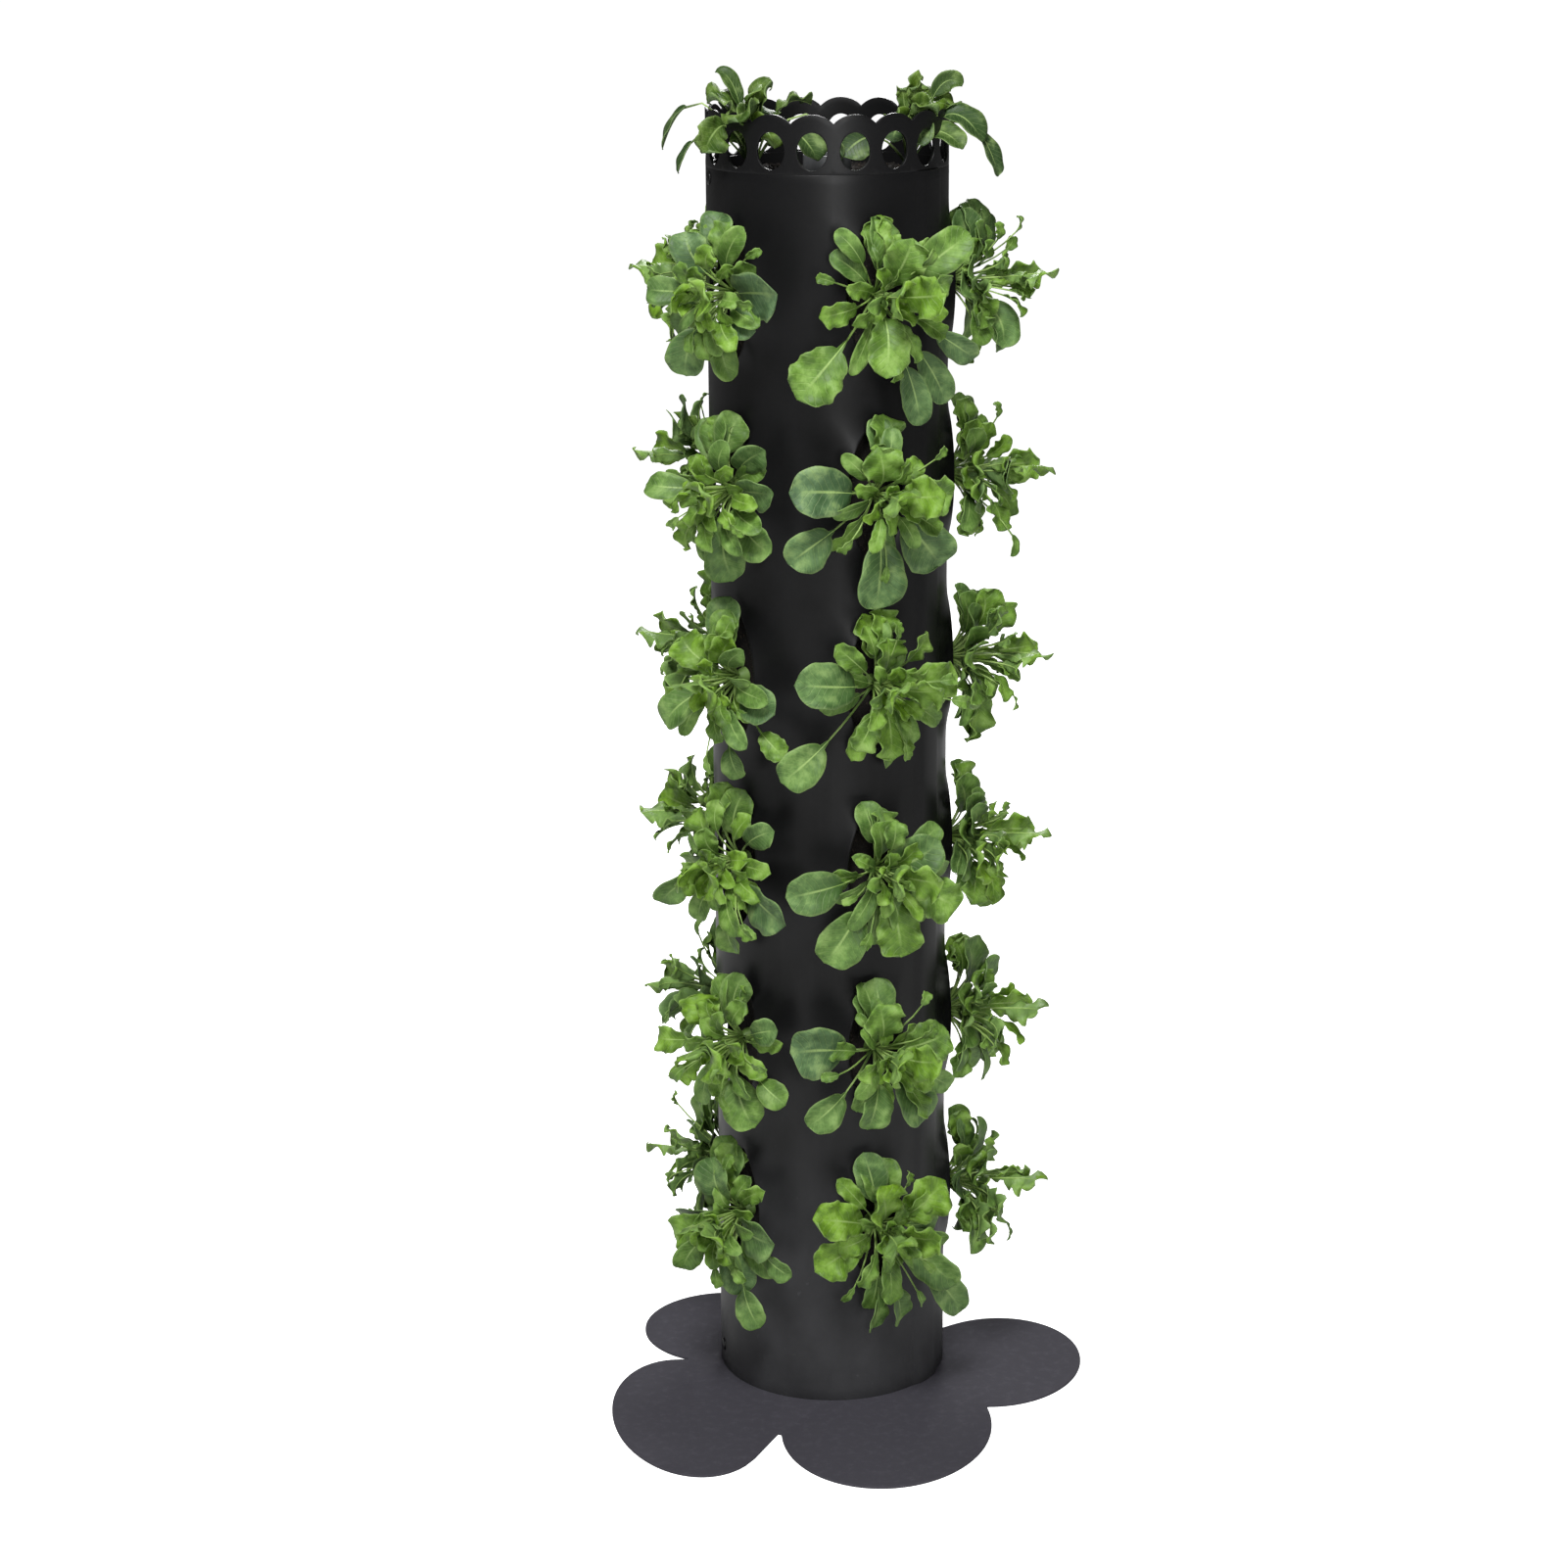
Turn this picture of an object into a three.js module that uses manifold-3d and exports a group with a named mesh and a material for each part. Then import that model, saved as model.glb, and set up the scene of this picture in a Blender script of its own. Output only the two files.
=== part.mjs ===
// A planter tower: a sheet of black plastic rolled into a tall tube with five columns of planting slits,
// a scalloped crown with a ring of holes on top, and a thin flower-shaped foot plate below.
// Inside are a drain pan, the growing medium and a perforated watering pipe; greens grow from every slit.
// Millimetres, +Z up, origin under the foot plate on the tube's axis. Azimuths are in degrees, counted
// from the front (-Y) towards +X.
import * as THREE from "three";
import { mergeVertices } from "three/addons/utils/BufferGeometryUtils.js";
import Module from "manifold-3d";

const wasm = await Module();
wasm.setup();

// Clearances and cutting
const fitGap = 0.3; // between pieces that touch or slide together
const overrun = 5; // how far a cutter runs past what it cuts

// Rolled wall
const tubeRadius = 125;
const sheetThick = 3;
const columnCount = 5;
const rowCount = 6;
const rowPitch = 200;
const firstRowHeight = 210;
const topMargin = 21; // plain wall above the highest cell
const frontColumnAzimuth = 22;
const seamAzimuth = 58;
const seamHalfLap = 6; // degrees that the two ends of the sheet overlap to each side of the seam
const seamStep = 8; // degrees over which the outer end steps out over the inner one
const cellSegments = 5; // facets along a cell's top and bottom edge
const sideSegments = 2; // facets up a cell's side

// Planting slits
const slitWidth = 62;
const slitHeight = 144;
const lipRise = 9; // how far the spread edges of a slit bulge out of the wall
const lipFadeShare = 0.45; // where the middle ring of a cell lies between slit edge and cell edge
const lipFadeRise = 0.3; // share of the lip's rise that is left there
const slitPointPower = 1.5; // above 1 the slit's ends are pointed

// Scalloped crown
const crownHeight = 59;
const crownThick = 3;
const spigotDepth = 19;
const scallopCount = 18;
const scallopDepth = 9;
const scallopSegments = 3; // facets on half a lobe
const firstScallopAzimuth = 13;
const crownHoleWidth = 31;
const crownHoleHeight = 37;
const crownHoleSink = 36; // from a lobe's top down to its hole's centre
const crownHoleSides = 8;
const crownFacets = 36;

// Foot plate
const plateThick = 3;
const plateReach = 282;
const plateFacets = 18; // on half an outline
// Each petal is an ellipse: x and y of its centre and its two half axes, in plate reaches, then its turn.
const petalShares = [
  { centre: [0.03, 0.42], halfAxes: [0.385, 0.385], turn: 0 },
  { centre: [-0.429, 0.241], halfAxes: [0.333, 0.333], turn: 0 },
  { centre: [-0.549, -0.567], halfAxes: [0.504, 0.295], turn: -78.8 },
  { centre: [0.208, -0.654], halfAxes: [0.505, 0.4], turn: 81 },
  { centre: [0.646, -0.084], halfAxes: [0.339, 0.406], turn: -17.7 },
];
const hubShare = 0.61; // radius of the disc that joins the petals, in plate reaches
const hubShiftShare = -0.17; // where its centre lies along Y

// Drain pan
const panFloor = 7;
const panWall = 3;
const panHeight = 45;
const panFacets = 24;
const drainHoleRadius = 5;
const drainHoleCount = 6;
const drainCircleRadius = 65;
const socketWall = 4;
const socketHeight = 20;

// Watering pipe and growing medium
const pipeRadius = 25;
const pipeWall = 2.5;
const pipeFacets = 12;
const pipeRise = 16; // above the growing medium
const pipeHoleRadius = 4;
const pipeHoleSides = 5;
const mediumSink = 6; // surface of the growing medium below the top of the wall
const facetsPerColumn = 6; // of the growing medium, so that an edge of it stands behind every slit

// Fasteners
const rivetHeadRadius = 7;
const rivetHeadThick = 2.4;
const rivetShankRadius = 3;
const rivetFootRadius = 4.6;
const rivetFootThick = 1;
const rivetSides = 6;
const rivetAzimuths = [100, 150, 215, 285]; // the same for the crown's and the pan's rivets
const crownRivetDrop = 10; // below the top of the wall
const panRivetRise = 25; // above the foot plate
const screwHeadRadius = 5;
const screwHeadThick = 1.5;
const screwShankRadius = 2.5;
const screwLength = 8.6;
const screwCircleRadius = 95;
const screwAzimuths = [45, 135, 225, 315];

// Greens
const leafReach = 100; // the unit in which the leaf tables are written
const leafThick = 3;
const headingLean = 0.45; // share of a leaf's way out of the wall that its blade follows
const petioleHalfWidth = 2.4;
const rootCrownRadius = 15;
const rootCrownTopRadius = 9;
const rootCrownHeight = 11;
const rootCrownSides = 5;
const rimPlantInset = 36; // from the inside of the crown to the root of a plant on the top

// Heights and radii that follow from the sizes above
const wallBottom = plateThick;
const cellsBottom = firstRowHeight - rowPitch / 2;
const cellsTop = cellsBottom + rowCount * rowPitch;
const wallTop = cellsTop + topMargin;
const towerHeight = wallTop + crownHeight;
const columnPitch = 360 / columnCount;
const wallInside = tubeRadius - sheetThick;
const wallInsideFlat = wallInside * Math.cos(rad(columnPitch / cellSegments / 2));
const spigotRadius = wallInsideFlat - fitGap;
const spigotInside = spigotRadius - crownThick;
const rivetFootReach = rivetFootThick + fitGap; // how far a rivet's foot stands inside what it holds
const panSkirtOutside = wallInsideFlat - fitGap;
const panSkirtInside = panSkirtOutside - panWall;
const crownRivetSeat = spigotInside * Math.cos(Math.PI / crownFacets);
const panRivetSeat = panSkirtInside * Math.cos(Math.PI / panFacets);
const mediumRadius = Math.min(crownRivetSeat, panRivetSeat) - rivetFootReach - fitGap;
const mediumTop = wallTop - mediumSink;
const mediumFacets = columnCount * facetsPerColumn;
const panTop = plateThick + panFloor;
const pipeTop = mediumTop + pipeRise;

function rad(degrees) {
  return (degrees * Math.PI) / 180;
}

// A point at an azimuth, a radius from the tower's axis and a height.
function around(azimuth, radius, height) {
  return new THREE.Vector3(radius * Math.sin(rad(azimuth)), -radius * Math.cos(rad(azimuth)), height);
}

function solidOf(geometry) {
  const bare = new THREE.BufferGeometry();
  bare.setAttribute("position", geometry.getAttribute("position"));
  if (geometry.index) bare.setIndex(geometry.index);
  const merged = mergeVertices(bare, fitGap / 100);
  return new wasm.Manifold(
    new wasm.Mesh({
      numProp: 3,
      vertProperties: new Float32Array(merged.getAttribute("position").array),
      triVerts: new Uint32Array(merged.index.array),
    }),
  );
}

function geometryOf(solid) {
  const mesh = solid.getMesh();
  const geometry = new THREE.BufferGeometry();
  geometry.setAttribute("position", new THREE.BufferAttribute(mesh.vertProperties, 3));
  geometry.setIndex(new THREE.BufferAttribute(mesh.triVerts, 1));
  geometry.computeVertexNormals();
  return geometry;
}

// A closed profile of [radius, height] points turned about Z.
function turned(profile, facets) {
  const points = profile.map(([radius, height]) => new THREE.Vector2(radius, height));
  const geometry = new THREE.LatheGeometry(points, facets);
  geometry.rotateX(Math.PI / 2);
  return solidOf(geometry);
}

// An upright prism, and one that lies along a radius at an azimuth.
function uprightRod(radius, bottom, top, sides, x, y) {
  const geometry = new THREE.CylinderGeometry(radius, radius, top - bottom, sides);
  geometry.rotateX(Math.PI / 2);
  geometry.translate(x, y, (top + bottom) / 2);
  return solidOf(geometry);
}

function radialRod(halfWidth, halfHeight, inner, outer, sides, azimuth, height) {
  const geometry = new THREE.CylinderGeometry(1, 1, outer - inner, sides);
  geometry.rotateY(Math.PI / sides);
  geometry.scale(halfWidth, 1, halfHeight);
  geometry.translate(0, -(inner + outer) / 2, height);
  geometry.rotateZ(rad(azimuth));
  return solidOf(geometry);
}

// The rolled wall. A sheet is a list of vertices (azimuth, height, lift out of the tube) and triangles,
// and thickening it closes every free edge.
class Sheet {
  constructor() {
    this.vertices = [];
    this.triangles = [];
    this.index = new Map();
  }
  vertex(azimuth, height, lift) {
    const key = azimuth.toFixed(4) + " " + height.toFixed(4);
    if (!this.index.has(key)) {
      this.index.set(key, this.vertices.length);
      this.vertices.push([azimuth, height, lift]);
    }
    return this.index.get(key);
  }
  // Corners run anticlockwise as seen from outside the tube.
  quad(a, b, c, d) {
    this.triangles.push([a, b, c], [a, c, d]);
  }
  strip(azimuths, lifts, heights) {
    for (let i = 0; i + 1 < azimuths.length; i++)
      for (let j = 0; j + 1 < heights.length; j++)
        this.quad(
          this.vertex(azimuths[i], heights[j], lifts[i]),
          this.vertex(azimuths[i + 1], heights[j], lifts[i + 1]),
          this.vertex(azimuths[i + 1], heights[j + 1], lifts[i + 1]),
          this.vertex(azimuths[i], heights[j + 1], lifts[i]),
        );
  }
  thickened(radius, thickness) {
    const count = this.vertices.length;
    const positions = [];
    for (const depth of [0, thickness])
      for (const [azimuth, height, lift] of this.vertices)
        positions.push(...around(azimuth, radius + lift - depth, height).toArray());
    const faces = [];
    const edges = new Map();
    for (const [a, b, c] of this.triangles) {
      faces.push(a, b, c, a + count, c + count, b + count);
      for (const [from, to] of [[a, b], [b, c], [c, a]]) {
        if (edges.has(to + " " + from)) edges.delete(to + " " + from);
        else edges.set(from + " " + to, [from, to]);
      }
    }
    for (const [from, to] of edges.values())
      faces.push(to, from, from + count, to, from + count, to + count);
    const geometry = new THREE.BufferGeometry();
    geometry.setAttribute("position", new THREE.Float32BufferAttribute(positions, 3));
    geometry.setIndex(faces);
    return geometry;
  }
}

function evenly(from, to, segments) {
  return Array.from({ length: segments + 1 }, (_, i) => from + ((to - from) * i) / segments);
}

// One planting slit and the wall round it, out to the edges of its cell.
function addSlitCell(sheet, west, east, slitAzimuth, slitCentre) {
  const low = slitCentre - rowPitch / 2;
  const high = slitCentre + rowPitch / 2;
  const across = evenly(west, east, cellSegments);
  const upward = evenly(low, high, sideSegments);
  const border = [
    ...across.slice(0, -1).map((azimuth) => [azimuth, low]),
    ...upward.slice(0, -1).map((height) => [east, height]),
    ...across.slice(1).reverse().map((azimuth) => [azimuth, high]),
    ...upward.slice(1).reverse().map((height) => [west, height]),
  ];
  const halfWidth = (slitWidth / 2 / tubeRadius) * (180 / Math.PI);
  const rings = [[], [], []];
  for (const [azimuth, height] of border) {
    const reach = azimuth > slitAzimuth ? east - slitAzimuth : slitAzimuth - west;
    const turn = Math.atan2((height - slitCentre) / (rowPitch / 2), (azimuth - slitAzimuth) / reach);
    const side = Math.sign(Math.cos(turn)) * Math.abs(Math.cos(turn)) ** slitPointPower;
    const edge = [slitAzimuth + halfWidth * side, slitCentre + (slitHeight / 2) * Math.sin(turn)];
    const rise = lipRise * Math.cos(turn) ** 2;
    const middle = edge.map((v, k) => v + ([azimuth, height][k] - v) * lipFadeShare);
    rings[0].push(sheet.vertex(edge[0], edge[1], rise));
    rings[1].push(sheet.vertex(middle[0], middle[1], rise * lipFadeRise));
    rings[2].push(sheet.vertex(azimuth, height, 0));
  }
  for (let ring = 0; ring < 2; ring++)
    for (let i = 0; i < border.length; i++) {
      const next = (i + 1) % border.length;
      const inner = rings[ring];
      const outer = rings[ring + 1];
      sheet.quad(outer[i], outer[next], inner[next], inner[i]);
    }
}

function rowHeight(row) {
  return firstRowHeight + row * rowPitch;
}

function wallSolid() {
  const sheet = new Sheet();
  const innerEnd = seamAzimuth - seamHalfLap;
  const firstWest = seamAzimuth + seamHalfLap;
  const lastEast = innerEnd - seamStep + 360;
  const edges = [firstWest];
  for (let column = 1; column < columnCount; column++)
    edges.push(frontColumnAzimuth + columnPitch * (column + 0.5));
  edges.push(lastEast);
  const heights = [
    wallBottom,
    ...evenly(cellsBottom, cellsTop, rowCount * sideSegments),
    wallTop,
  ];
  for (let column = 0; column < columnCount; column++) {
    const west = edges[column];
    const east = edges[column + 1];
    const across = evenly(west, east, cellSegments);
    const flat = across.map(() => 0);
    sheet.strip(across, flat, [wallBottom, cellsBottom]);
    sheet.strip(across, flat, [cellsTop, wallTop]);
    for (let row = 0; row < rowCount; row++)
      addSlitCell(sheet, west, east, frontColumnAzimuth + columnPitch * (column + 1), rowHeight(row));
  }
  const lapLift = sheetThick + fitGap;
  sheet.strip([innerEnd, firstWest], [0, 0], heights);
  sheet.strip([lastEast, innerEnd + 360, firstWest + 360], [0, lapLift, lapLift], heights);
  let wall = solidOf(sheet.thickened(tubeRadius, sheetThick));
  for (const { azimuth, height } of [...seamRivets(), ...crownRivets(), ...panRivets()])
    wall = wall.subtract(rivetDrill(azimuth, height));
  return wall;
}

// Rivets: where they sit, how thick a stack they hold, and the drill for their holes.
function seamRivets() {
  return evenly(rowHeight(0), rowHeight(rowCount - 1), rowCount - 1).map((height) => ({
    azimuth: seamAzimuth,
    height,
    outside: (tubeRadius + sheetThick + fitGap) * Math.cos(rad(seamHalfLap)),
    inside: wallInside * Math.cos(rad(seamHalfLap)),
  }));
}

function crownRivets() {
  return rivetAzimuths.map((azimuth) => ({
    azimuth,
    height: wallTop - crownRivetDrop,
    outside: tubeRadius,
    inside: crownRivetSeat,
  }));
}

function panRivets() {
  return rivetAzimuths.map((azimuth) => ({
    azimuth,
    height: plateThick + panRivetRise,
    outside: tubeRadius,
    inside: panRivetSeat,
  }));
}

function rivetDrill(azimuth, height) {
  const radius = (rivetShankRadius + fitGap) / Math.cos(Math.PI / rivetSides);
  return radialRod(radius, radius, mediumRadius, tubeRadius + overrun * 2, rivetSides, azimuth, height);
}

function rivetGeometry({ outside, inside }) {
  const head = outside + fitGap;
  const foot = inside - fitGap;
  const profile = [
    [0, foot - rivetFootThick],
    [rivetFootRadius, foot - rivetFootThick],
    [rivetFootRadius, foot],
    [rivetShankRadius, foot],
    [rivetShankRadius, head],
    [rivetHeadRadius, head],
    [rivetHeadRadius * 0.6, head + rivetHeadThick],
    [0, head + rivetHeadThick],
  ];
  const solid = turned(profile, rivetSides);
  const geometry = geometryOf(solid);
  geometry.rotateX(Math.PI / 2); // +Z, the head's side, now points to the front
  return geometry;
}

// The crown: a spigot inside the wall, a shoulder on its top edge and the scalloped, perforated band.
function crownSolid() {
  const shoulder = wallTop;
  const profile = [
    [spigotInside, wallTop - spigotDepth],
    [spigotRadius, wallTop - spigotDepth],
    [spigotRadius, shoulder],
    [tubeRadius, shoulder],
    [tubeRadius, towerHeight],
    [tubeRadius - crownThick, towerHeight],
    [tubeRadius - crownThick, shoulder + crownThick],
    [spigotInside, shoulder + crownThick],
    [spigotInside, wallTop - spigotDepth],
  ];
  let crown = turned(profile, crownFacets);
  const pitch = 360 / scallopCount;
  for (let i = 0; i < scallopCount / 2; i++)
    crown = crown.subtract(
      radialRod(
        crownHoleWidth / 2,
        crownHoleHeight / 2,
        -tubeRadius - overrun,
        tubeRadius + overrun,
        crownHoleSides,
        firstScallopAzimuth + pitch * i,
        towerHeight - crownHoleSink,
      ),
    );
  const notch = notchGeometry();
  for (let i = 0; i < scallopCount; i++) {
    const cutter = notch.clone().rotateZ(rad(firstScallopAzimuth + pitch * (i + 0.5)));
    crown = crown.subtract(solidOf(cutter));
  }
  for (const { azimuth, height } of crownRivets()) crown = crown.subtract(rivetDrill(azimuth, height));
  return crown;
}

// What is cut away between two lobes: both arcs fall from the lobes' tops to the notch between them.
function notchGeometry() {
  const halfPitch = (Math.PI * tubeRadius) / scallopCount;
  const lobeRadius = (halfPitch ** 2 + scallopDepth ** 2) / (2 * scallopDepth);
  const fall = (x) => Math.sqrt(lobeRadius ** 2 - x ** 2) - lobeRadius;
  const half = evenly(0, halfPitch, scallopSegments);
  const shape = new THREE.Shape();
  shape.moveTo(-halfPitch, overrun);
  for (const x of half) shape.lineTo(x - halfPitch, fall(x));
  for (const x of half.slice(0, -1).reverse()) shape.lineTo(halfPitch - x, fall(x));
  shape.lineTo(halfPitch, overrun);
  const geometry = new THREE.ExtrudeGeometry(shape, {
    depth: crownThick + overrun * 2,
    bevelEnabled: false,
  });
  geometry.rotateX(Math.PI / 2);
  geometry.translate(0, -tubeRadius + crownThick + overrun, towerHeight);
  return geometry;
}

// The foot plate: petals round a hub, drain holes, and screw holes sunk from below.
function petalGeometry({ centre, halfAxes, turn }) {
  const [x, y] = centre.map((share) => share * plateReach);
  const [long, short] = halfAxes.map((share) => share * plateReach);
  const shape = new THREE.Shape();
  shape.absellipse(x, y, long, short, 0, Math.PI * 2, false, rad(turn));
  return new THREE.ExtrudeGeometry(shape, {
    depth: plateThick,
    bevelEnabled: false,
    curveSegments: plateFacets,
  });
}

function plateSolid() {
  const hubRadius = hubShare * plateReach;
  let plate = uprightRod(hubRadius, 0, plateThick, plateFacets * 2, 0, hubShiftShare * plateReach);
  for (const petal of petalShares) plate = plate.add(solidOf(petalGeometry(petal)));
  for (const { x, y } of ring(drainHoleCount, drainCircleRadius))
    plate = plate.subtract(
      uprightRod(drainHoleRadius, -overrun, plateThick + overrun, rivetSides, x, y),
    );
  for (const azimuth of screwAzimuths) {
    const { x, y } = around(azimuth, screwCircleRadius, 0);
    const hole = screwShankRadius + fitGap;
    const sinkRadius = screwHeadRadius + fitGap;
    plate = plate.subtract(uprightRod(hole, -overrun, plateThick + overrun, rivetSides, x, y));
    plate = plate.subtract(
      uprightRod(sinkRadius, -overrun, screwHeadThick + fitGap * 2, rivetSides, x, y),
    );
  }
  return plate;
}

function ring(count, radius) {
  return evenly(0, 360, count)
    .slice(0, -1)
    .map((azimuth) => around(azimuth, radius, 0));
}

// The drain pan stands on the plate inside the wall and holds the pipe's lower end in a socket.
function panSolid() {
  const socketInside = (pipeRadius + fitGap) / Math.cos(Math.PI / panFacets);
  const socketOutside = socketInside + socketWall;
  const profile = [
    [0, plateThick],
    [panSkirtOutside, plateThick],
    [panSkirtOutside, plateThick + panHeight],
    [panSkirtInside, plateThick + panHeight],
    [panSkirtInside, panTop],
    [socketOutside, panTop],
    [socketOutside, panTop + socketHeight],
    [socketInside, panTop + socketHeight],
    [socketInside, panTop],
    [0, panTop],
  ];
  let pan = turned(profile, panFacets);
  for (const { x, y } of ring(drainHoleCount, drainCircleRadius))
    pan = pan.subtract(
      uprightRod(drainHoleRadius, 0, panTop + overrun, rivetSides, x, y),
    );
  for (const azimuth of screwAzimuths) {
    const { x, y } = around(azimuth, screwCircleRadius, 0);
    const tip = screwHeadThick + screwLength;
    pan = pan.subtract(
      uprightRod(screwShankRadius + fitGap, 0, tip, rivetSides, x, y),
    );
  }
  for (const { azimuth, height } of panRivets()) pan = pan.subtract(rivetDrill(azimuth, height));
  return pan;
}

function screwGeometry() {
  const head = fitGap;
  const tip = head + screwLength;
  const profile = [
    [0, head],
    [screwHeadRadius, head],
    [screwHeadRadius, head + screwHeadThick],
    [screwShankRadius, head + screwHeadThick],
    [screwShankRadius, tip],
    [0, tip],
  ];
  return geometryOf(turned(profile, rivetSides));
}

function pipeSolid() {
  const inside = pipeRadius - pipeWall;
  const profile = [
    [inside, panTop],
    [pipeRadius, panTop],
    [pipeRadius, pipeTop],
    [inside, pipeTop],
    [inside, panTop],
  ];
  let pipe = turned(profile, pipeFacets);
  const reach = pipeRadius + overrun;
  for (let row = 0; row < rowCount; row++) {
    const azimuth = row % 2 ? 90 : 0;
    pipe = pipe.subtract(
      radialRod(pipeHoleRadius, pipeHoleRadius, -reach, reach, pipeHoleSides, azimuth, rowHeight(row)),
    );
  }
  return pipe;
}

function mediumSolid() {
  const clearOfPipe = (pipeRadius + fitGap) / Math.cos(Math.PI / mediumFacets);
  const socketOutside = (pipeRadius + fitGap) / Math.cos(Math.PI / panFacets) + socketWall;
  const clearOfSocket = (socketOutside + fitGap) / Math.cos(Math.PI / mediumFacets);
  const socketTop = panTop + socketHeight + fitGap;
  const profile = [
    [clearOfSocket, panTop],
    [mediumRadius, panTop],
    [mediumRadius, mediumTop],
    [clearOfPipe, mediumTop],
    [clearOfPipe, socketTop],
    [clearOfSocket, socketTop],
    [clearOfSocket, panTop],
  ];
  return turned(profile, mediumFacets);
}

// Greens. A leaf is written as [side, rise, out, width, length]: where its blade's middle lies, seen from
// the root, and the blade's size, all in leaf reaches. Side runs to the right as seen from outside the
// tower, rise goes up and out goes away from the wall.
const frontRightLeafShares = [
  [
    [-0.62, 0.35, 0.5, 0.49, 0.81],
    [-0.12, 0.42, 0.55, 0.52, 0.67],
    [0.42, 0.38, 0.42, 0.55, 0.69],
    [-0.62, -0.12, 0.42, 0.47, 0.56],
    [-0.12, -0.72, 0.26, 0.39, 0.4],
    [0.52, -0.42, 0.42, 0.49, 0.74],
  ],
  [
    [-0.82, 0.22, 0.3, 0.65, 0.56],
    [-0.1, 0.48, 0.45, 0.52, 0.56],
    [0.42, 0.2, 0.5, 0.55, 0.56],
    [-0.72, -0.52, 0.34, 0.47, 0.45],
    [-0.18, -0.55, 0.4, 0.47, 0.47],
    [0.3, -0.52, 0.42, 0.49, 0.49],
  ],
  [
    [-0.85, -0.05, 0.34, 0.49, 0.6],
    [-0.1, 0.5, 0.38, 0.47, 0.47],
    [0.3, 0.24, 0.5, 0.57, 0.67],
    [-0.5, -0.66, 0.26, 0.6, 0.56],
    [0.1, -0.55, 0.4, 0.52, 0.56],
    [0.5, -0.2, 0.52, 0.49, 0.56],
  ],
  [
    [-0.74, 0.14, 0.4, 0.57, 0.69],
    [-0.02, 0.44, 0.4, 0.44, 0.47],
    [0.46, 0.1, 0.44, 0.49, 0.67],
    [-0.92, -0.74, 0.22, 0.57, 0.56],
    [0.02, -0.42, 0.36, 0.47, 0.56],
    [-0.28, -0.42, 0.42, 0.34, 0.4],
  ],
  [
    [-0.78, 0.16, 0.4, 0.7, 0.69],
    [-0.1, 0.38, 0.44, 0.44, 0.47],
    [0.44, 0.06, 0.5, 0.47, 0.52],
    [-0.84, -0.46, 0.24, 0.52, 0.45],
    [-0.06, -0.84, 0.26, 0.65, 0.69],
    [0.46, -0.54, 0.3, 0.57, 0.56],
  ],
  [
    [-0.4, 0.6, 0.3, 0.34, 0.58],
    [0.1, 0.42, 0.55, 0.52, 0.67],
    [0.56, 0.5, 0.5, 0.52, 0.78],
    [-0.84, -0.42, 0.3, 0.68, 0.67],
    [0, -0.42, 0.5, 0.55, 0.56],
    [0.42, -0.9, 0.3, 0.52, 0.69],
  ],
];

const frontLeftLeafShares = [
  [
    [0.66, -0.02, 0.34, 0.75, 0.69],
    [-0.06, 0.46, 0.34, 0.57, 0.63],
    [-0.34, -0.16, 0.56, 0.52, 0.56],
    [0.28, -0.56, 0.3, 0.6, 0.6],
    [0.86, -0.34, 0.22, 0.36, 0.38],
    [-0.22, -0.44, 0.62, 0.42, 0.49],
  ],
  [
    [0.66, 0.3, 0.22, 0.44, 0.4],
    [-0.16, 0.42, 0.4, 0.57, 0.63],
    [-0.42, 0.04, 0.7, 0.39, 0.47],
    [0.34, -0.62, 0.26, 0.68, 0.65],
    [0.78, -0.36, 0.22, 0.42, 0.4],
    [-0.3, -0.34, 0.56, 0.42, 0.49],
  ],
  [
    [0.78, -0.3, 0.26, 0.78, 0.69],
    [0.62, 0.46, 0.22, 0.44, 0.52],
    [-0.16, 0.42, 0.36, 0.52, 0.56],
    [-0.36, -0.28, 0.66, 0.44, 0.56],
    [0.14, -0.8, 0.26, 0.47, 0.45],
    [0.06, 0.06, 0.7, 0.57, 0.56],
  ],
  [
    [0.72, -0.1, 0.3, 0.55, 0.52],
    [-0.26, 0.34, 0.42, 0.55, 0.67],
    [-0.34, -0.3, 0.56, 0.52, 0.67],
    [0.82, -0.52, 0.22, 0.36, 0.45],
    [0.24, -0.86, 0.26, 0.36, 0.38],
    [0.3, 0.4, 0.42, 0.44, 0.56],
  ],
  [
    [0.72, 0.1, 0.3, 0.52, 0.56],
    [0.56, 0.42, 0.24, 0.47, 0.52],
    [-0.4, 0.04, 0.66, 0.42, 0.63],
    [0.66, -0.44, 0.26, 0.52, 0.49],
    [0.16, -0.7, 0.26, 0.62, 0.58],
    [-0.3, -0.44, 0.4, 0.42, 0.47],
  ],
  [
    [0.82, 0.12, 0.34, 0.81, 0.69],
    [-0.2, 0.48, 0.4, 0.55, 0.6],
    [-0.36, 0.06, 0.68, 0.39, 0.52],
    [0.56, -0.22, 0.34, 0.44, 0.45],
    [0.16, -0.6, 0.26, 0.39, 0.56],
    [-0.26, -0.62, 0.4, 0.65, 0.6],
  ],
];

// Young upright leaves in the heart of every plant.
const heartLeafShares = [
  [0.2, 0.1, 0.84, 0.47, 0.52],
  [-0.16, 0.12, 0.9, 0.44, 0.49],
];

const rimLeftLeafShares = [
  [-0.3, 0.5, 0.84, 0.47, 0.67],
  [0.1, 0.62, 0.88, 0.47, 0.63],
  [0.42, 0.1, 0.72, 0.47, 0.56],
  [-0.1, 0.3, 1, 0.39, 0.56],
  [-0.44, 0.04, 0.66, 0.44, 0.52],
];

const rimRightLeafShares = [
  [0.3, 0.42, 0.9, 0.42, 0.63],
  [-0.16, 0.66, 0.86, 0.44, 0.69],
  [-0.44, 0.2, 0.8, 0.44, 0.56],
  [0.08, 0.22, 1.02, 0.36, 0.52],
  [0.4, -0.02, 0.62, 0.42, 0.49],
];

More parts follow.
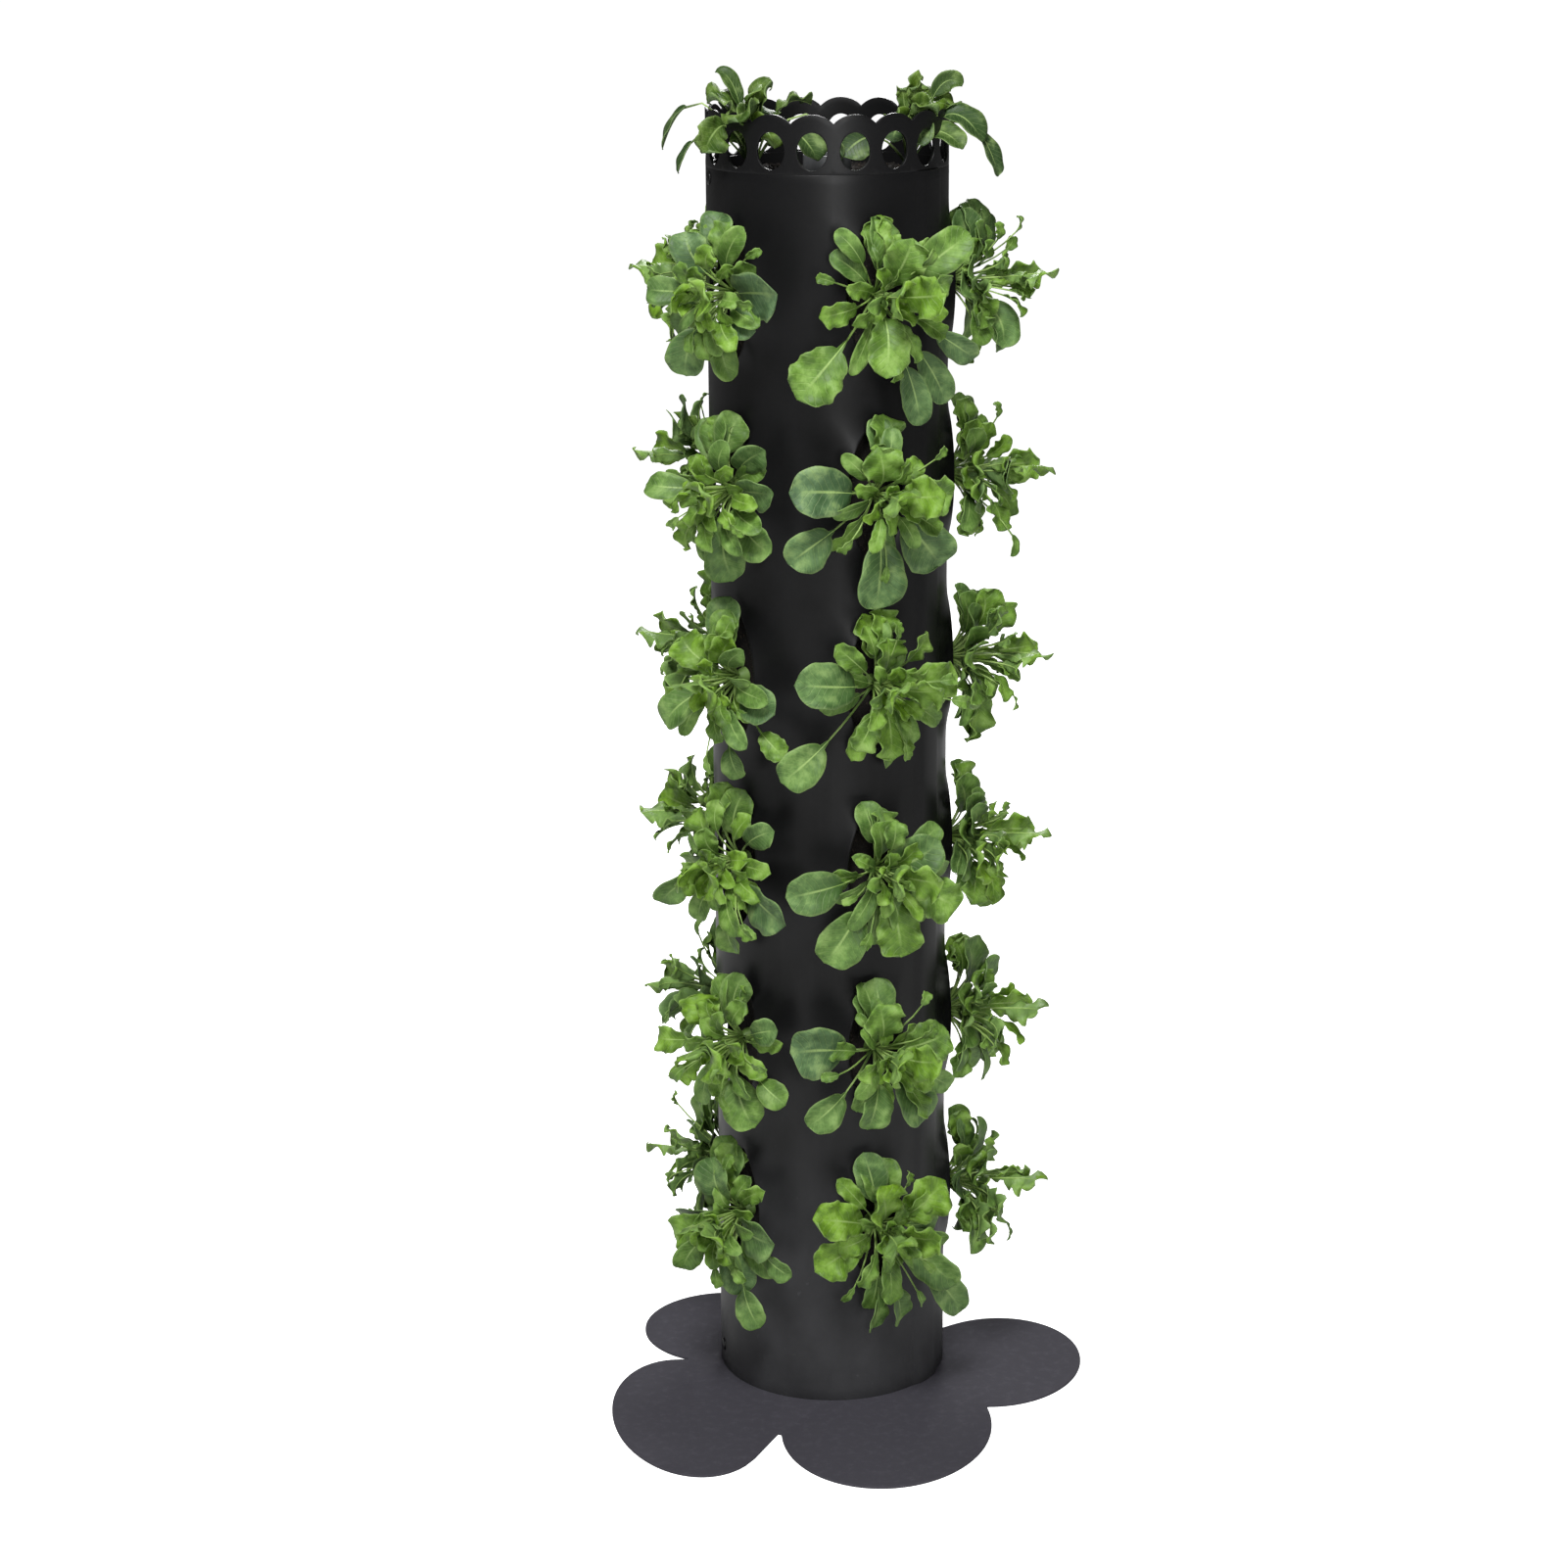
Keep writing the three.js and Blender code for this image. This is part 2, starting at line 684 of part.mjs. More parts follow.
// The other columns' leaves spread round the root by the golden angle.
const goldenAngle = 137.508;
const spreadCount = 4;
function spreadLeaves(column, row) {
  const start = column * 61 + row * 97;
  return evenly(0, spreadCount, spreadCount - 1).map((_, i) => {
    const turn = rad(start + goldenAngle * i);
    const wave = Math.sin(start + i * 2.4);
    const reach = 0.62 + 0.1 * wave;
    return [
      reach * Math.sin(turn),
      reach * Math.cos(turn) * 0.85,
      0.48 - 0.16 * wave,
      0.54 + 0.06 * wave,
      0.6 + 0.08 * wave,
    ];
  });
}

// A leaf's solid: a petiole from the root and a flat-topped blade with a keel below its middle line.
const bladeShares = [
  { along: 0, half: 0.16 },
  { along: 0.32, half: 0.96 },
  { along: 0.74, half: 0.88 },
];

function leafSolid([side, rise, out, width, length], arch) {
  const middle = new THREE.Vector3(side, -out, rise).multiplyScalar(leafReach);
  const root = new THREE.Vector3(0, -rootCrownHeight * 0.7, 0);
  const heading = new THREE.Vector3(side, -out * headingLean, rise).normalize();
  const half = (length * leafReach) / 2;
  const tip = middle.clone().addScaledVector(heading, half);
  const bend = middle.clone().addScaledVector(heading, -half);
  bend.y -= leafReach * arch;
  const line = new THREE.QuadraticBezierCurve3(root, bend, tip);
  const bladeStart = 1 - Math.min(0.64, (length * leafReach) / line.getLength());
  const across = new THREE.Vector3(0, -1, 0).cross(heading).normalize();
  const rings = [{ at: 0, half: petioleHalfWidth }];
  for (const station of bladeShares) {
    const wide = Math.max(petioleHalfWidth, (station.half * width * leafReach) / 2);
    rings.push({ at: bladeStart + (1 - bladeStart) * station.along, half: wide });
  }
  const positions = [];
  for (const { at, half: wide } of rings) {
    const centre = line.getPointAt(at);
    const up = line.getTangentAt(at).cross(across).normalize();
    for (const [x, lift] of [[-wide, 0], [wide, 0], [0, -leafThick]])
      positions.push(...centre.clone().addScaledVector(across, x).addScaledVector(up, lift).toArray());
  }
  positions.push(...tip.toArray());
  const sides = 3;
  const faces = [0, 1, 2];
  for (let band = 0; band + 1 < rings.length; band++)
    for (let corner = 0; corner < sides; corner++) {
      const a = band * sides + corner;
      const b = band * sides + ((corner + 1) % sides);
      faces.push(a, a + sides, b, b, a + sides, b + sides);
    }
  const last = (rings.length - 1) * sides;
  for (let corner = 0; corner < sides; corner++)
    faces.push(last + corner, rings.length * sides, last + ((corner + 1) % sides));
  const geometry = new THREE.BufferGeometry();
  geometry.setAttribute("position", new THREE.Float32BufferAttribute(positions, 3));
  geometry.setIndex(faces);
  const solid = solidOf(geometry);
  if (solid.volume() > 0) return solid;
  geometry.setIndex(faces.slice().reverse());
  return solidOf(geometry);
}

// A plant whose root crown stands on the plane y = 0 and grows towards -Y.
function plantSolid(leaves, arch) {
  const crown = new THREE.CylinderGeometry(
    rootCrownRadius,
    rootCrownTopRadius,
    rootCrownHeight,
    rootCrownSides,
  );
  crown.translate(0, -rootCrownHeight / 2, 0);
  return leaves.reduce((plant, leaf) => plant.add(leafSolid(leaf, arch)), solidOf(crown));
}

// The assembly
const plastic = { color: 0x161617, roughness: 0.5, metalness: 0 };
const materials = {
  wall: new THREE.MeshStandardMaterial(plastic),
  plate: new THREE.MeshStandardMaterial({ color: 0x35343a, roughness: 0.7, metalness: 0.1 }),
  pan: new THREE.MeshStandardMaterial({ ...plastic, roughness: 0.65 }),
  pipe: new THREE.MeshStandardMaterial({ color: 0x2c2d2e, roughness: 0.45, metalness: 0 }),
  medium: new THREE.MeshStandardMaterial({ color: 0x2a1c12, roughness: 1, metalness: 0 }),
  rivet: new THREE.MeshStandardMaterial({ ...plastic, roughness: 0.35 }),
  screw: new THREE.MeshStandardMaterial({ color: 0xa6a7a8, roughness: 0.3, metalness: 1 }),
  darkLeaf: new THREE.MeshStandardMaterial({ color: 0x3f6b33, roughness: 0.6, metalness: 0 }),
  brightLeaf: new THREE.MeshStandardMaterial({ color: 0x639a2a, roughness: 0.55, metalness: 0 }),
};

const tower = new THREE.Group();

function addPiece(name, geometry, material) {
  const mesh = new THREE.Mesh(geometry, material);
  mesh.name = name;
  tower.add(mesh);
  return mesh;
}

addPiece("foot_plate", geometryOf(plateSolid()), materials.plate);
addPiece("drain_pan", geometryOf(panSolid()), materials.pan);
addPiece("tower_wall", geometryOf(wallSolid()), materials.wall);
addPiece("scalloped_crown", geometryOf(crownSolid()), materials.wall);
addPiece("watering_pipe", geometryOf(pipeSolid()), materials.pipe);
const medium = addPiece("growing_medium", geometryOf(mediumSolid()), materials.medium);
medium.rotation.z = rad(frontColumnAzimuth);

function addRivets(prefix, places) {
  places.forEach((place, i) => {
    const rivet = addPiece(prefix + (i + 1), rivetGeometry(place), materials.rivet);
    rivet.rotation.z = rad(place.azimuth);
    rivet.position.z = place.height;
  });
}
addRivets("seam_rivet_", seamRivets());
addRivets("crown_rivet_", crownRivets());
addRivets("pan_rivet_", panRivets());

screwAzimuths.forEach((azimuth, i) => {
  const screw = addPiece("base_screw_" + (i + 1), screwGeometry(), materials.screw);
  screw.position.copy(around(azimuth, screwCircleRadius, 0));
});

const slitArch = 0.3;
for (let column = 0; column < columnCount; column++)
  for (let row = 0; row < rowCount; row++) {
    const azimuth = frontColumnAzimuth + columnPitch * column;
    let leaves = spreadLeaves(column, row);
    if (column === 0) leaves = frontRightLeafShares[row % frontRightLeafShares.length];
    if (column === columnCount - 1) leaves = frontLeftLeafShares[row % frontLeftLeafShares.length];
    const material = (column + row) % 2 ? materials.darkLeaf : materials.brightLeaf;
    const name = "green_c" + (column + 1) + "_r" + (row + 1);
    const solid = plantSolid([...leaves, ...heartLeafShares], slitArch);
    const plant = addPiece(name, geometryOf(solid), material);
    plant.rotation.z = rad(azimuth);
    plant.position.copy(around(azimuth, mediumRadius + fitGap, rowHeight(row)));
  }

// The plants on the top lean out over the rim: their out axis is up and their rise axis points outwards.
const rimArch = 0.42;
const rimPlants = [
  { name: "rim_green_left", azimuth: -62, leaves: rimLeftLeafShares },
  { name: "rim_green_right", azimuth: 72, leaves: rimRightLeafShares },
];
for (const { name, azimuth, leaves } of rimPlants) {
  const geometry = geometryOf(plantSolid(leaves, rimArch));
  geometry.rotateX(-Math.PI / 2);
  geometry.rotateZ(Math.PI);
  const plant = addPiece(name, geometry, materials.brightLeaf);
  plant.rotation.z = rad(azimuth);
  plant.position.copy(
    around(azimuth, tubeRadius - crownThick - rimPlantInset, mediumTop + fitGap),
  );
}

export default tower;
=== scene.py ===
"""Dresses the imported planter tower: rolled wall, crown, foot plate, soil, pipe and greens."""
from math import atan2, ceil, cos, degrees, hypot, pi, radians, sin, sqrt

import bmesh
import bpy
import numpy as np
from bpy.props import FloatProperty, FloatVectorProperty, IntProperty, PointerProperty
from mathutils import Matrix, Vector, noise


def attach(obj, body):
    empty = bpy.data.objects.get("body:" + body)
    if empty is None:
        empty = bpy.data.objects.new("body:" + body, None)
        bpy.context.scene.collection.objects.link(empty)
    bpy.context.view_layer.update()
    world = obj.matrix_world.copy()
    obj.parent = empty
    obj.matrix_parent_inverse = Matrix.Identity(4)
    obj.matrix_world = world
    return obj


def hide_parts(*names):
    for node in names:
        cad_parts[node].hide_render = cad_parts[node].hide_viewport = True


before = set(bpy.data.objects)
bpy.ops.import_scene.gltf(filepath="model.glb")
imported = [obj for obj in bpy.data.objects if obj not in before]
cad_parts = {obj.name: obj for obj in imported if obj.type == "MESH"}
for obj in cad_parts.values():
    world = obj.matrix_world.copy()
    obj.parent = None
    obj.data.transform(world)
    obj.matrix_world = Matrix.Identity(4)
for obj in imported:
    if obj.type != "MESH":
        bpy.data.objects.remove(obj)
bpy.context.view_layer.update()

IMAGE_PX = 1601
SENSOR = 36.0
ROOT = "root"

bl_info = {
    "name": "Planter tower dresser",
    "version": (1, 0, 0),
    "blender": (4, 5, 0),
    "location": "View3D > Sidebar > Planter tower",
    "description": "Builds the finished surfaces of a planter tower around its packed solids",
    "category": "Object",
}


# What a user may change


def size(name, default, description):
    """A length property in metres."""
    return FloatProperty(
        name=name, default=default, description=description, unit="LENGTH", precision=4
    )


def colour(name, default, description):
    """A linear colour property."""
    return FloatVectorProperty(
        name=name, default=default, description=description, subtype="COLOR", size=3, min=0, max=1
    )


class TowerSizes(bpy.types.PropertyGroup):
    """Sizes of the rigid pieces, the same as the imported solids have."""

    tube_radius: size("Tube radius", 0.125, "Outer radius of the rolled wall")
    sheet_thick: size("Sheet thickness", 0.003, "Thickness of the rolled sheet")
    fit_gap: size("Fit gap", 0.0003, "Clearance between pieces that touch")
    wall_bottom: size("Wall bottom", 0.003, "Height at which the wall stands on the foot plate")
    wall_top: size("Wall top", 1.331, "Height of the wall's upper edge")
    row_pitch: size("Row pitch", 0.2, "Height from one row of slits to the next")
    first_row: size("First row", 0.21, "Height of the lowest slit centres")
    slit_width: size("Slit width", 0.062, "Width of a planting slit along the wall")
    slit_height: size("Slit height", 0.144, "Height of a planting slit")
    lip_rise: size("Lip rise", 0.009, "How far the lips of a slit bulge out")
    scallop_height: size("Crown height", 0.059, "From the top of the wall to the top of a lobe")
    scallop_depth: size("Scallop depth", 0.009, "From the top of a lobe down to the notch")
    crown_hole_width: size("Crown hole width", 0.031, "Width of a hole in the crown")
    crown_hole_height: size("Crown hole height", 0.037, "Height of a hole in the crown")
    crown_hole_sink: size("Crown hole sink", 0.036, "From the top of a lobe down to its hole's centre")
    spigot_radius: size("Spigot radius", 0.1207, "Outside of the crown's spigot")
    spigot_depth: size("Spigot depth", 0.019, "How far the spigot reaches down inside the wall")
    plate_thick: size("Foot plate thickness", 0.003, "Thickness of the foot plate")
    plate_reach: size("Foot plate reach", 0.282, "The unit in which the petals are written")
    medium_radius: size("Soil radius", 0.1151, "Radius of the growing medium")
    medium_top: size("Soil level", 1.325, "Height of the soil's surface")
    pan_top: size("Pan floor", 0.01, "Height of the drain pan's floor")
    socket_radius: size("Pipe socket radius", 0.0296, "Outside of the socket that holds the pipe")
    socket_height: size("Pipe socket height", 0.02, "Height of that socket")
    pipe_radius: size("Pipe radius", 0.025, "Outer radius of the watering pipe")
    pipe_wall: size("Pipe wall", 0.0025, "Wall of the watering pipe")
    pipe_top: size("Pipe top", 1.341, "Height of the watering pipe's mouth")
    pipe_hole_radius: size("Pipe hole radius", 0.004, "Radius of the watering holes")
    columns: IntProperty(name="Columns", default=5, description="Columns of slits", min=1)
    rows: IntProperty(name="Rows", default=6, description="Rows of slits", min=1)
    scallops: IntProperty(name="Scallops", default=18, description="Lobes of the crown", min=3)


class GreenSizes(bpy.types.PropertyGroup):
    """Sizes of the greens and the soil's crumbs."""

    leaf_reach: size("Leaf reach", 0.1, "The unit in which the leaves are written")
    leaf_thick: size("Leaf thickness", 0.0007, "Thickness of a blade")
    stalk_radius: size("Stalk radius", 0.0017, "Radius of a stalk at the root")
    collar_radius: size("Root collar radius", 0.006, "Radius of the collar that the stalks leave")
    collar_height: size("Root collar height", 0.011, "Height of that collar")
    crumb: size("Crumb", 0.0026, "Radius of a crumb of soil")
    fillers: IntProperty(name="Filler leaves", default=23, description="Small leaves in a plant", min=0)
    seed: IntProperty(name="Seed", default=7, description="Start of every random draw")


class TowerColours(bpy.types.PropertyGroup):
    """Colours of the finishes."""

    wall: colour("Wall", (0.0035, 0.0035, 0.0038), "Black sheet plastic")
    # Dust, and on the black wall also painted light reflected from the floor, lighter towards the
    # bottom
    dust_and_reflection: colour("Dust", (0.06, 0.06, 0.064), "Dust on the black plastic")
    plate: colour("Foot plate", (0.043, 0.041, 0.05), "Charcoal sheet plastic")
    pipe: colour("Pipe", (0.06, 0.062, 0.065), "Grey pipe plastic")
    steel: colour("Screw steel", (0.55, 0.55, 0.56), "Stainless steel")
    # The soil colours are darkened beyond moist soil as painted shade for the soil in the slits
    soil: colour("Soil", (0.01, 0.0075, 0.006), "Moist potting soil")
    soil_bits: colour("Soil bits", (0.05, 0.036, 0.025), "Bark and fibre in the soil")
    dark_leaf: colour("Dark leaf", (0.076, 0.14, 0.06), "Older spoon leaves")
    bright_leaf: colour("Bright leaf", (0.158, 0.3, 0.014), "Young crisp leaves")
    # The rim leaf colours are the leaf colours darkened: painted shade on the plants at the top
    rim_dark_leaf: colour("Dark rim leaf", (0.036, 0.066, 0.025), "Older leaves of the rim plants")
    rim_bright_leaf: colour("Bright rim leaf", (0.085, 0.15, 0.008), "Young leaves of the rim plants")
    stalk: colour("Stalk", (0.3, 0.42, 0.14), "Stalks and midribs")
    floor: colour("Floor", (0.9, 0.9, 0.9), "Studio floor")


def sizes():
    """The sizes of the rigid pieces."""
    return bpy.context.scene.tower_sizes


def greens():
    """The sizes of the greens and the crumbs."""
    return bpy.context.scene.green_sizes


def colours():
    """The colours of the finishes."""
    return bpy.context.scene.tower_colours


# Places shared by several pieces, azimuths in degrees from the front towards +X
FRONT_COLUMN_AZIMUTH = 22
SEAM_AZIMUTH = 58
SEAM_HALF_LAP = 6
SEAM_STEP = 8
FIRST_SCALLOP_AZIMUTH = 13
RIVET_AZIMUTHS = (100, 150, 215, 285)
CROWN_RIVET_DROP = 0.01
PAN_RIVET_RISE = 0.025
SCREW_AZIMUTHS = (45, 135, 225, 315)
SCREW_CIRCLE = 0.095
DRAIN_CIRCLE = 0.065
DRAIN_HOLES = 6
DRAIN_HOLE_RADIUS = 0.005
UP = (0, 0, 1)

# The rounding of a sheet's edges, the angle in radians from which an edge is rounded,
# and the angles in degrees from which an edge is shaded hard
EDGE_ROUNDING = 0.0004
ROUNDED_FROM = 0.9
SOLID_SHARP = 35
SHEET_SHARP = 50


# Meshes


def around(azimuth, radius, height):
    """A point at an azimuth in degrees from the front, a radius and a height."""
    return Vector((radius * sin(radians(azimuth)), -radius * cos(radians(azimuth)), height))


def evenly(start, end, segments):
    """Numbers from start to end, at the ends of equal segments."""
    return [start + (end - start) * i / segments for i in range(segments + 1)]


def add_mesh(name, vertices, faces=(), edges=()):
    """Links a new mesh object at the origin."""
    mesh = bpy.data.meshes.new(name)
    vertices, edges, faces = ([tuple(item) for item in items] for items in (vertices, edges, faces))
    mesh.from_pydata(vertices, edges, faces)
    mesh.validate()
    obj = bpy.data.objects.new(name, mesh)
    bpy.context.scene.collection.objects.link(obj)
    return obj


def put_attribute(obj, name, values, kind="FLOAT"):
    """Stores one value or vector per vertex."""
    attribute = obj.data.attributes.new(name, kind, "POINT")
    flat = np.asarray(values, dtype=np.float32).ravel()
    attribute.data.foreach_set("vector" if kind == "FLOAT_VECTOR" else "value", flat)


def add_modifier(obj, kind, **settings):
    """Adds a modifier with its settings."""
    modifier = obj.modifiers.new(kind.title(), kind)
    for key, value in settings.items():
        setattr(modifier, key, value)


def flatten(obj):
    """Bakes an object's modifiers into a plain mesh of its own."""
    depsgraph = bpy.context.evaluated_depsgraph_get()
    mesh = bpy.data.meshes.new_from_object(obj.evaluated_get(depsgraph), depsgraph=depsgraph)
    obj.modifiers.clear()
    obj.data = mesh


def round_edges(obj, width, segments=2):
    """Rounds the sharp edges of a piece and bakes its modifiers."""
    limit = {"limit_method": "ANGLE", "angle_limit": ROUNDED_FROM}
    add_modifier(obj, "BEVEL", width=width, segments=segments, **limit)
    flatten(obj)


def thicken(obj, thickness):
    """Thickens a sheet inwards and rounds its edges."""
    add_modifier(obj, "SOLIDIFY", thickness=thickness, offset=-1, use_even_offset=True)
    round_edges(obj, EDGE_ROUNDING)


def drop(obj):
    """Removes an object."""
    bpy.data.objects.remove(obj)


def join(target, *others):
    """Adds the meshes of other objects to the target's and removes those objects."""
    whole = bmesh.new()
    for obj in (target, *others):
        whole.from_mesh(obj.data)
    whole.to_mesh(target.data)
    whole.free()
    for obj in others:
        drop(obj)


def paint(obj, material):
    """Gives a piece one material."""
    obj.data.materials.clear()
    obj.data.materials.append(material)


def shade(obj, angle=None):
    """Shades a mesh smooth, with edges sharper than the angle, in degrees, kept hard."""
    obj.data.shade_smooth()
    if angle is not None:
        obj.data.set_sharp_from_angle(angle=radians(angle))


def finish_piece(obj, slot, *nodes):
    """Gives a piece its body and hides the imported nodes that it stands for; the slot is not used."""
    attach(obj, ROOT)
    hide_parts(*nodes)


def turned(profile, segments):
    """A closed profile of (radius, height) points, turned about Z with its poles closed."""
    vertices = []
    rings = []
    for radius, height in profile:
        if radius == 0:
            rings.append([len(vertices)] * segments)
            vertices.append((0, 0, height))
        else:
            rings.append(range(len(vertices), len(vertices) + segments))
            turns = [2 * pi * i / segments for i in range(segments)]
            vertices += [(radius * cos(turn), radius * sin(turn), height) for turn in turns]
    faces = []
    for low, high in zip(rings, rings[1:] + rings[:1]):
        for i in range(segments):
            k = (i + 1) % segments
            corners = list(dict.fromkeys((low[i], low[k], high[k], high[i])))
            if len(corners) > 2:
                faces.append(corners)
    return vertices, faces


def turned_piece(name, profile, segments, sharp=SOLID_SHARP):
    """A turned solid, its normals set outwards."""
    obj = add_mesh(name, *turned(profile, segments))
    solid = bmesh.new()
    solid.from_mesh(obj.data)
    bmesh.ops.recalc_face_normals(solid, faces=solid.faces)
    solid.to_mesh(obj.data)
    solid.free()
    shade(obj, sharp)
    return obj


class Sheet:
    """A thin wall round the tower: vertices by azimuth, height and lift, faces that look outwards."""

    def __init__(self):
        self.vertices = []
        self.faces = []
        self.index = {}

    def vertex(self, azimuth, height, lift=0.0):
        """The vertex at a place, made there when it is the first."""
        key = (round(azimuth, 4), round(height, 6))
        if key not in self.index:
            self.index[key] = len(self.vertices)
            self.vertices.append((azimuth, height, lift))
        return self.index[key]

    def strip(self, azimuths, heights, lifts=None):
        """Fills between azimuths and heights, with a lift for each azimuth."""
        lifts = lifts or [0.0] * len(azimuths)
        for i in range(len(azimuths) - 1):
            for low, high in zip(heights, heights[1:]):
                corners = ((i, low), (i + 1, low), (i + 1, high), (i, high))
                self.faces.append([self.vertex(azimuths[k], h, lifts[k]) for k, h in corners])

    def rings(self, border, hole, fades, rises=None):
        """Fills between a hole, at fade 0, and a border of as many points, at fade 1."""
        rises = rises or [0.0] * len(border)
        loops = []
        for fade in fades:
            loop = []
            for edge, outer, rise in zip(hole, border, rises):
                azimuth = edge[0] + (outer[0] - edge[0]) * fade
                height = edge[1] + (outer[1] - edge[1]) * fade
                loop.append(self.vertex(azimuth, height, rise * (1 - fade) ** 4))
            loops.append(loop)
        count = len(border)
        for inner, outer in zip(loops, loops[1:]):
            for i in range(count):
                k = (i + 1) % count
                self.faces.append([outer[i], outer[k], inner[k], inner[i]])

    def to_object(self, name, radius):
        """The sheet as an object, rolled to the radius."""
        rolled = [around(a, radius + lift, h) for a, h, lift in self.vertices]
        return add_mesh(name, rolled, self.faces)


def box_border(west, east, low, high, across, upward):
    """Points round a cell, anticlockwise as seen from outside, starting at the lower west corner."""
    azimuths = evenly(west, east, across)
    heights = evenly(low, high, upward)
    return (
        [(a, low) for a in azimuths[:-1]]
        + [(east, h) for h in heights[:-1]]
        + [(a, high) for a in azimuths[:0:-1]]
        + [(west, h) for h in heights[:0:-1]]
    )


# Node trees


class Nodes:
    """A node tree under construction."""

    def __init__(self, tree):
        self.tree = tree

    def put(self, socket, link):
        """Feeds a socket with a link or a value, or leaves it as it is."""
        if isinstance(link, bpy.types.NodeSocket):
            self.tree.links.new(link, socket)
        elif link is not None:
            socket.default_value = link

    def node(self, kind, *links, out=0, feed=None, **settings):
        """Adds a node, feeds its sockets in order, then by name, and gives back one output."""
        node = self.tree.nodes.new(kind)
        for key, value in settings.items():
            setattr(node, key, value)
        for socket, link in zip(node.inputs, links):
            self.put(socket, link)
        for key, link in (feed or {}).items():
            self.put(node.inputs[key], link)
        return node.outputs[out]

    def math(self, operation, *links):
        return self.node("ShaderNodeMath", *links, operation=operation)

    def plus(self, a, b):
        return self.math("ADD", a, b)

    def minus(self, a, b):
        return self.math("SUBTRACT", a, b)

    def times(self, a, b, clamp=False):
        return self.node("ShaderNodeMath", a, b, operation="MULTIPLY", use_clamp=clamp)

    def vector(self, operation, *links):
        return self.node("ShaderNodeVectorMath", *links, operation=operation)

    def scaled(self, vector, factor):
        return self.node("ShaderNodeVectorMath", vector, operation="SCALE", feed={"Scale": factor})

    def ramp(self, value, low, high):
        """A value's way from low to high, as 0 to 1 with soft ends."""
        return self.node("ShaderNodeMapRange", value, low, high, interpolation_type="SMOOTHSTEP")

    def mix(self, factor, a, b):
        node = self.tree.nodes.new("ShaderNodeMix")
        node.data_type = "RGBA"
        for index, link in ((0, factor), (6, a), (7, b)):
            self.put(node.inputs[index], link)
        return node.outputs[2]

    def noise(self, place, scale, detail=3.0, roughness=0.55):
        feed = {"Scale": scale, "Detail": detail, "Roughness": roughness}
        return self.node("ShaderNodeTexNoise", place, feed=feed)


class Group(Nodes):
    """A node group with named inputs and outputs."""

    def __init__(self, name, kind, inputs, outputs):
        super().__init__(bpy.data.node_groups.new(name, kind))
        for label, socket_kind, default in inputs:
            socket = self.add_socket(label, "INPUT", socket_kind)
            if default is not None:
                socket.default_value = default
        for label, socket_kind in outputs:
            self.add_socket(label, "OUTPUT", socket_kind)
        self.given = self.tree.nodes.new("NodeGroupInput").outputs
        self.result = self.tree.nodes.new("NodeGroupOutput").inputs

    def add_socket(self, label, side, kind):
        kind = "NodeSocket" + kind
        return self.tree.interface.new_socket(name=label, in_out=side, socket_type=kind)


# Geometry trees


class Growth(Group):
    """A geometry tree that ends in realized instances with a material."""

    def __init__(self, name, inputs):
        geometry = ("Geometry", "Geometry", None)
        material = ("Material", "Material", None)
        super().__init__(name, "GeometryNodeTree", [geometry, *inputs, material], [geometry[:2]])

    def attribute(self, name, data_type="FLOAT"):
        return self.node("GeometryNodeInputNamedAttribute", name, data_type=data_type)

    def random_vector(self, least, most, seed):
        kind = {"data_type": "FLOAT_VECTOR", "feed": {"Seed": seed}}
        return self.node("FunctionNodeRandomValue", least, most, **kind)

    def store(self, geometry, name, value):
        return self.node("GeometryNodeStoreNamedAttribute", geometry, None, name, value)

    def instances(self, points, instance, rotation, scale=None):
        feed = {"Instance": instance, "Rotation": rotation, "Scale": scale}
        return self.node("GeometryNodeInstanceOnPoints", points, feed=feed)

    def swept(self, curve, section, size, caps=None):
        """A section swept along a curve, as large as the named attribute says."""
        feed = {"Scale": self.attribute(size), "Fill Caps": caps}
        return self.node("GeometryNodeCurveToMesh", curve, section, feed=feed)

    def joined(self, *parts):
        node = self.tree.nodes.new("GeometryNodeJoinGeometry")
        for part in parts:
            self.tree.links.new(part, node.inputs[0])
        return node.outputs[0]

    def end(self, geometry):
        """Realizes the instances and sets the material."""
        realized = self.node("GeometryNodeRealizeInstances", geometry)
        painted = self.node("GeometryNodeSetMaterial", realized, None, self.given["Material"])
        self.tree.links.new(painted, self.result[0])


def run_tree(obj, tree_name, **inputs):
    """Runs a geometry tree on an object with the named inputs and keeps the plain result."""
    tree = bpy.data.node_groups[tree_name]
    modifier = obj.modifiers.new(tree_name, "NODES")
    modifier.node_group = tree
    sockets = {s.name: s.identifier for s in tree.interface.items_tree if s.in_out == "INPUT"}
    for name, value in inputs.items():
        modifier[sockets[name.replace("_", " ").capitalize()]] = value
    flatten(obj)


def copies_tree():
    """Copies of one object on points, each with its Z along the point's outward direction."""
    tree = Growth("copies_on_points", [("Pattern", "Object", None)])
    pattern = tree.node("GeometryNodeObjectInfo", tree.given["Pattern"], out=4)
    outward = tree.attribute("outward", "FLOAT_VECTOR")
    turn = tree.node("FunctionNodeAlignRotationToVector", None, None, outward, axis="Z")
    points = tree.node("GeometryNodeMeshToPoints", tree.given["Geometry"])
    tree.end(tree.instances(points, pattern, turn))


LOBE_WELD = 0.00001


def scallop_tree():
    """A sector of the crown repeated round the tower and welded into a ring."""
    tree = Growth("scallop_ring", [("Count", "Int", 18), ("Weld", "Float", LOBE_WELD)])
    count = tree.given["Count"]
    points = tree.node("GeometryNodeMeshLine", count, None, None, (0, 0, 0), mode="OFFSET")
    step = tree.math("DIVIDE", 2 * pi, count)
    turn = tree.times(tree.node("GeometryNodeInputIndex"), step)
    rotation = tree.node("ShaderNodeCombineXYZ", 0, 0, turn)
    lobes = tree.instances(points, tree.given["Geometry"], rotation)
    lobes = tree.node("GeometryNodeRealizeInstances", lobes)
    tree.end(tree.node("GeometryNodeMergeByDistance", lobes, None, tree.given["Weld"]))


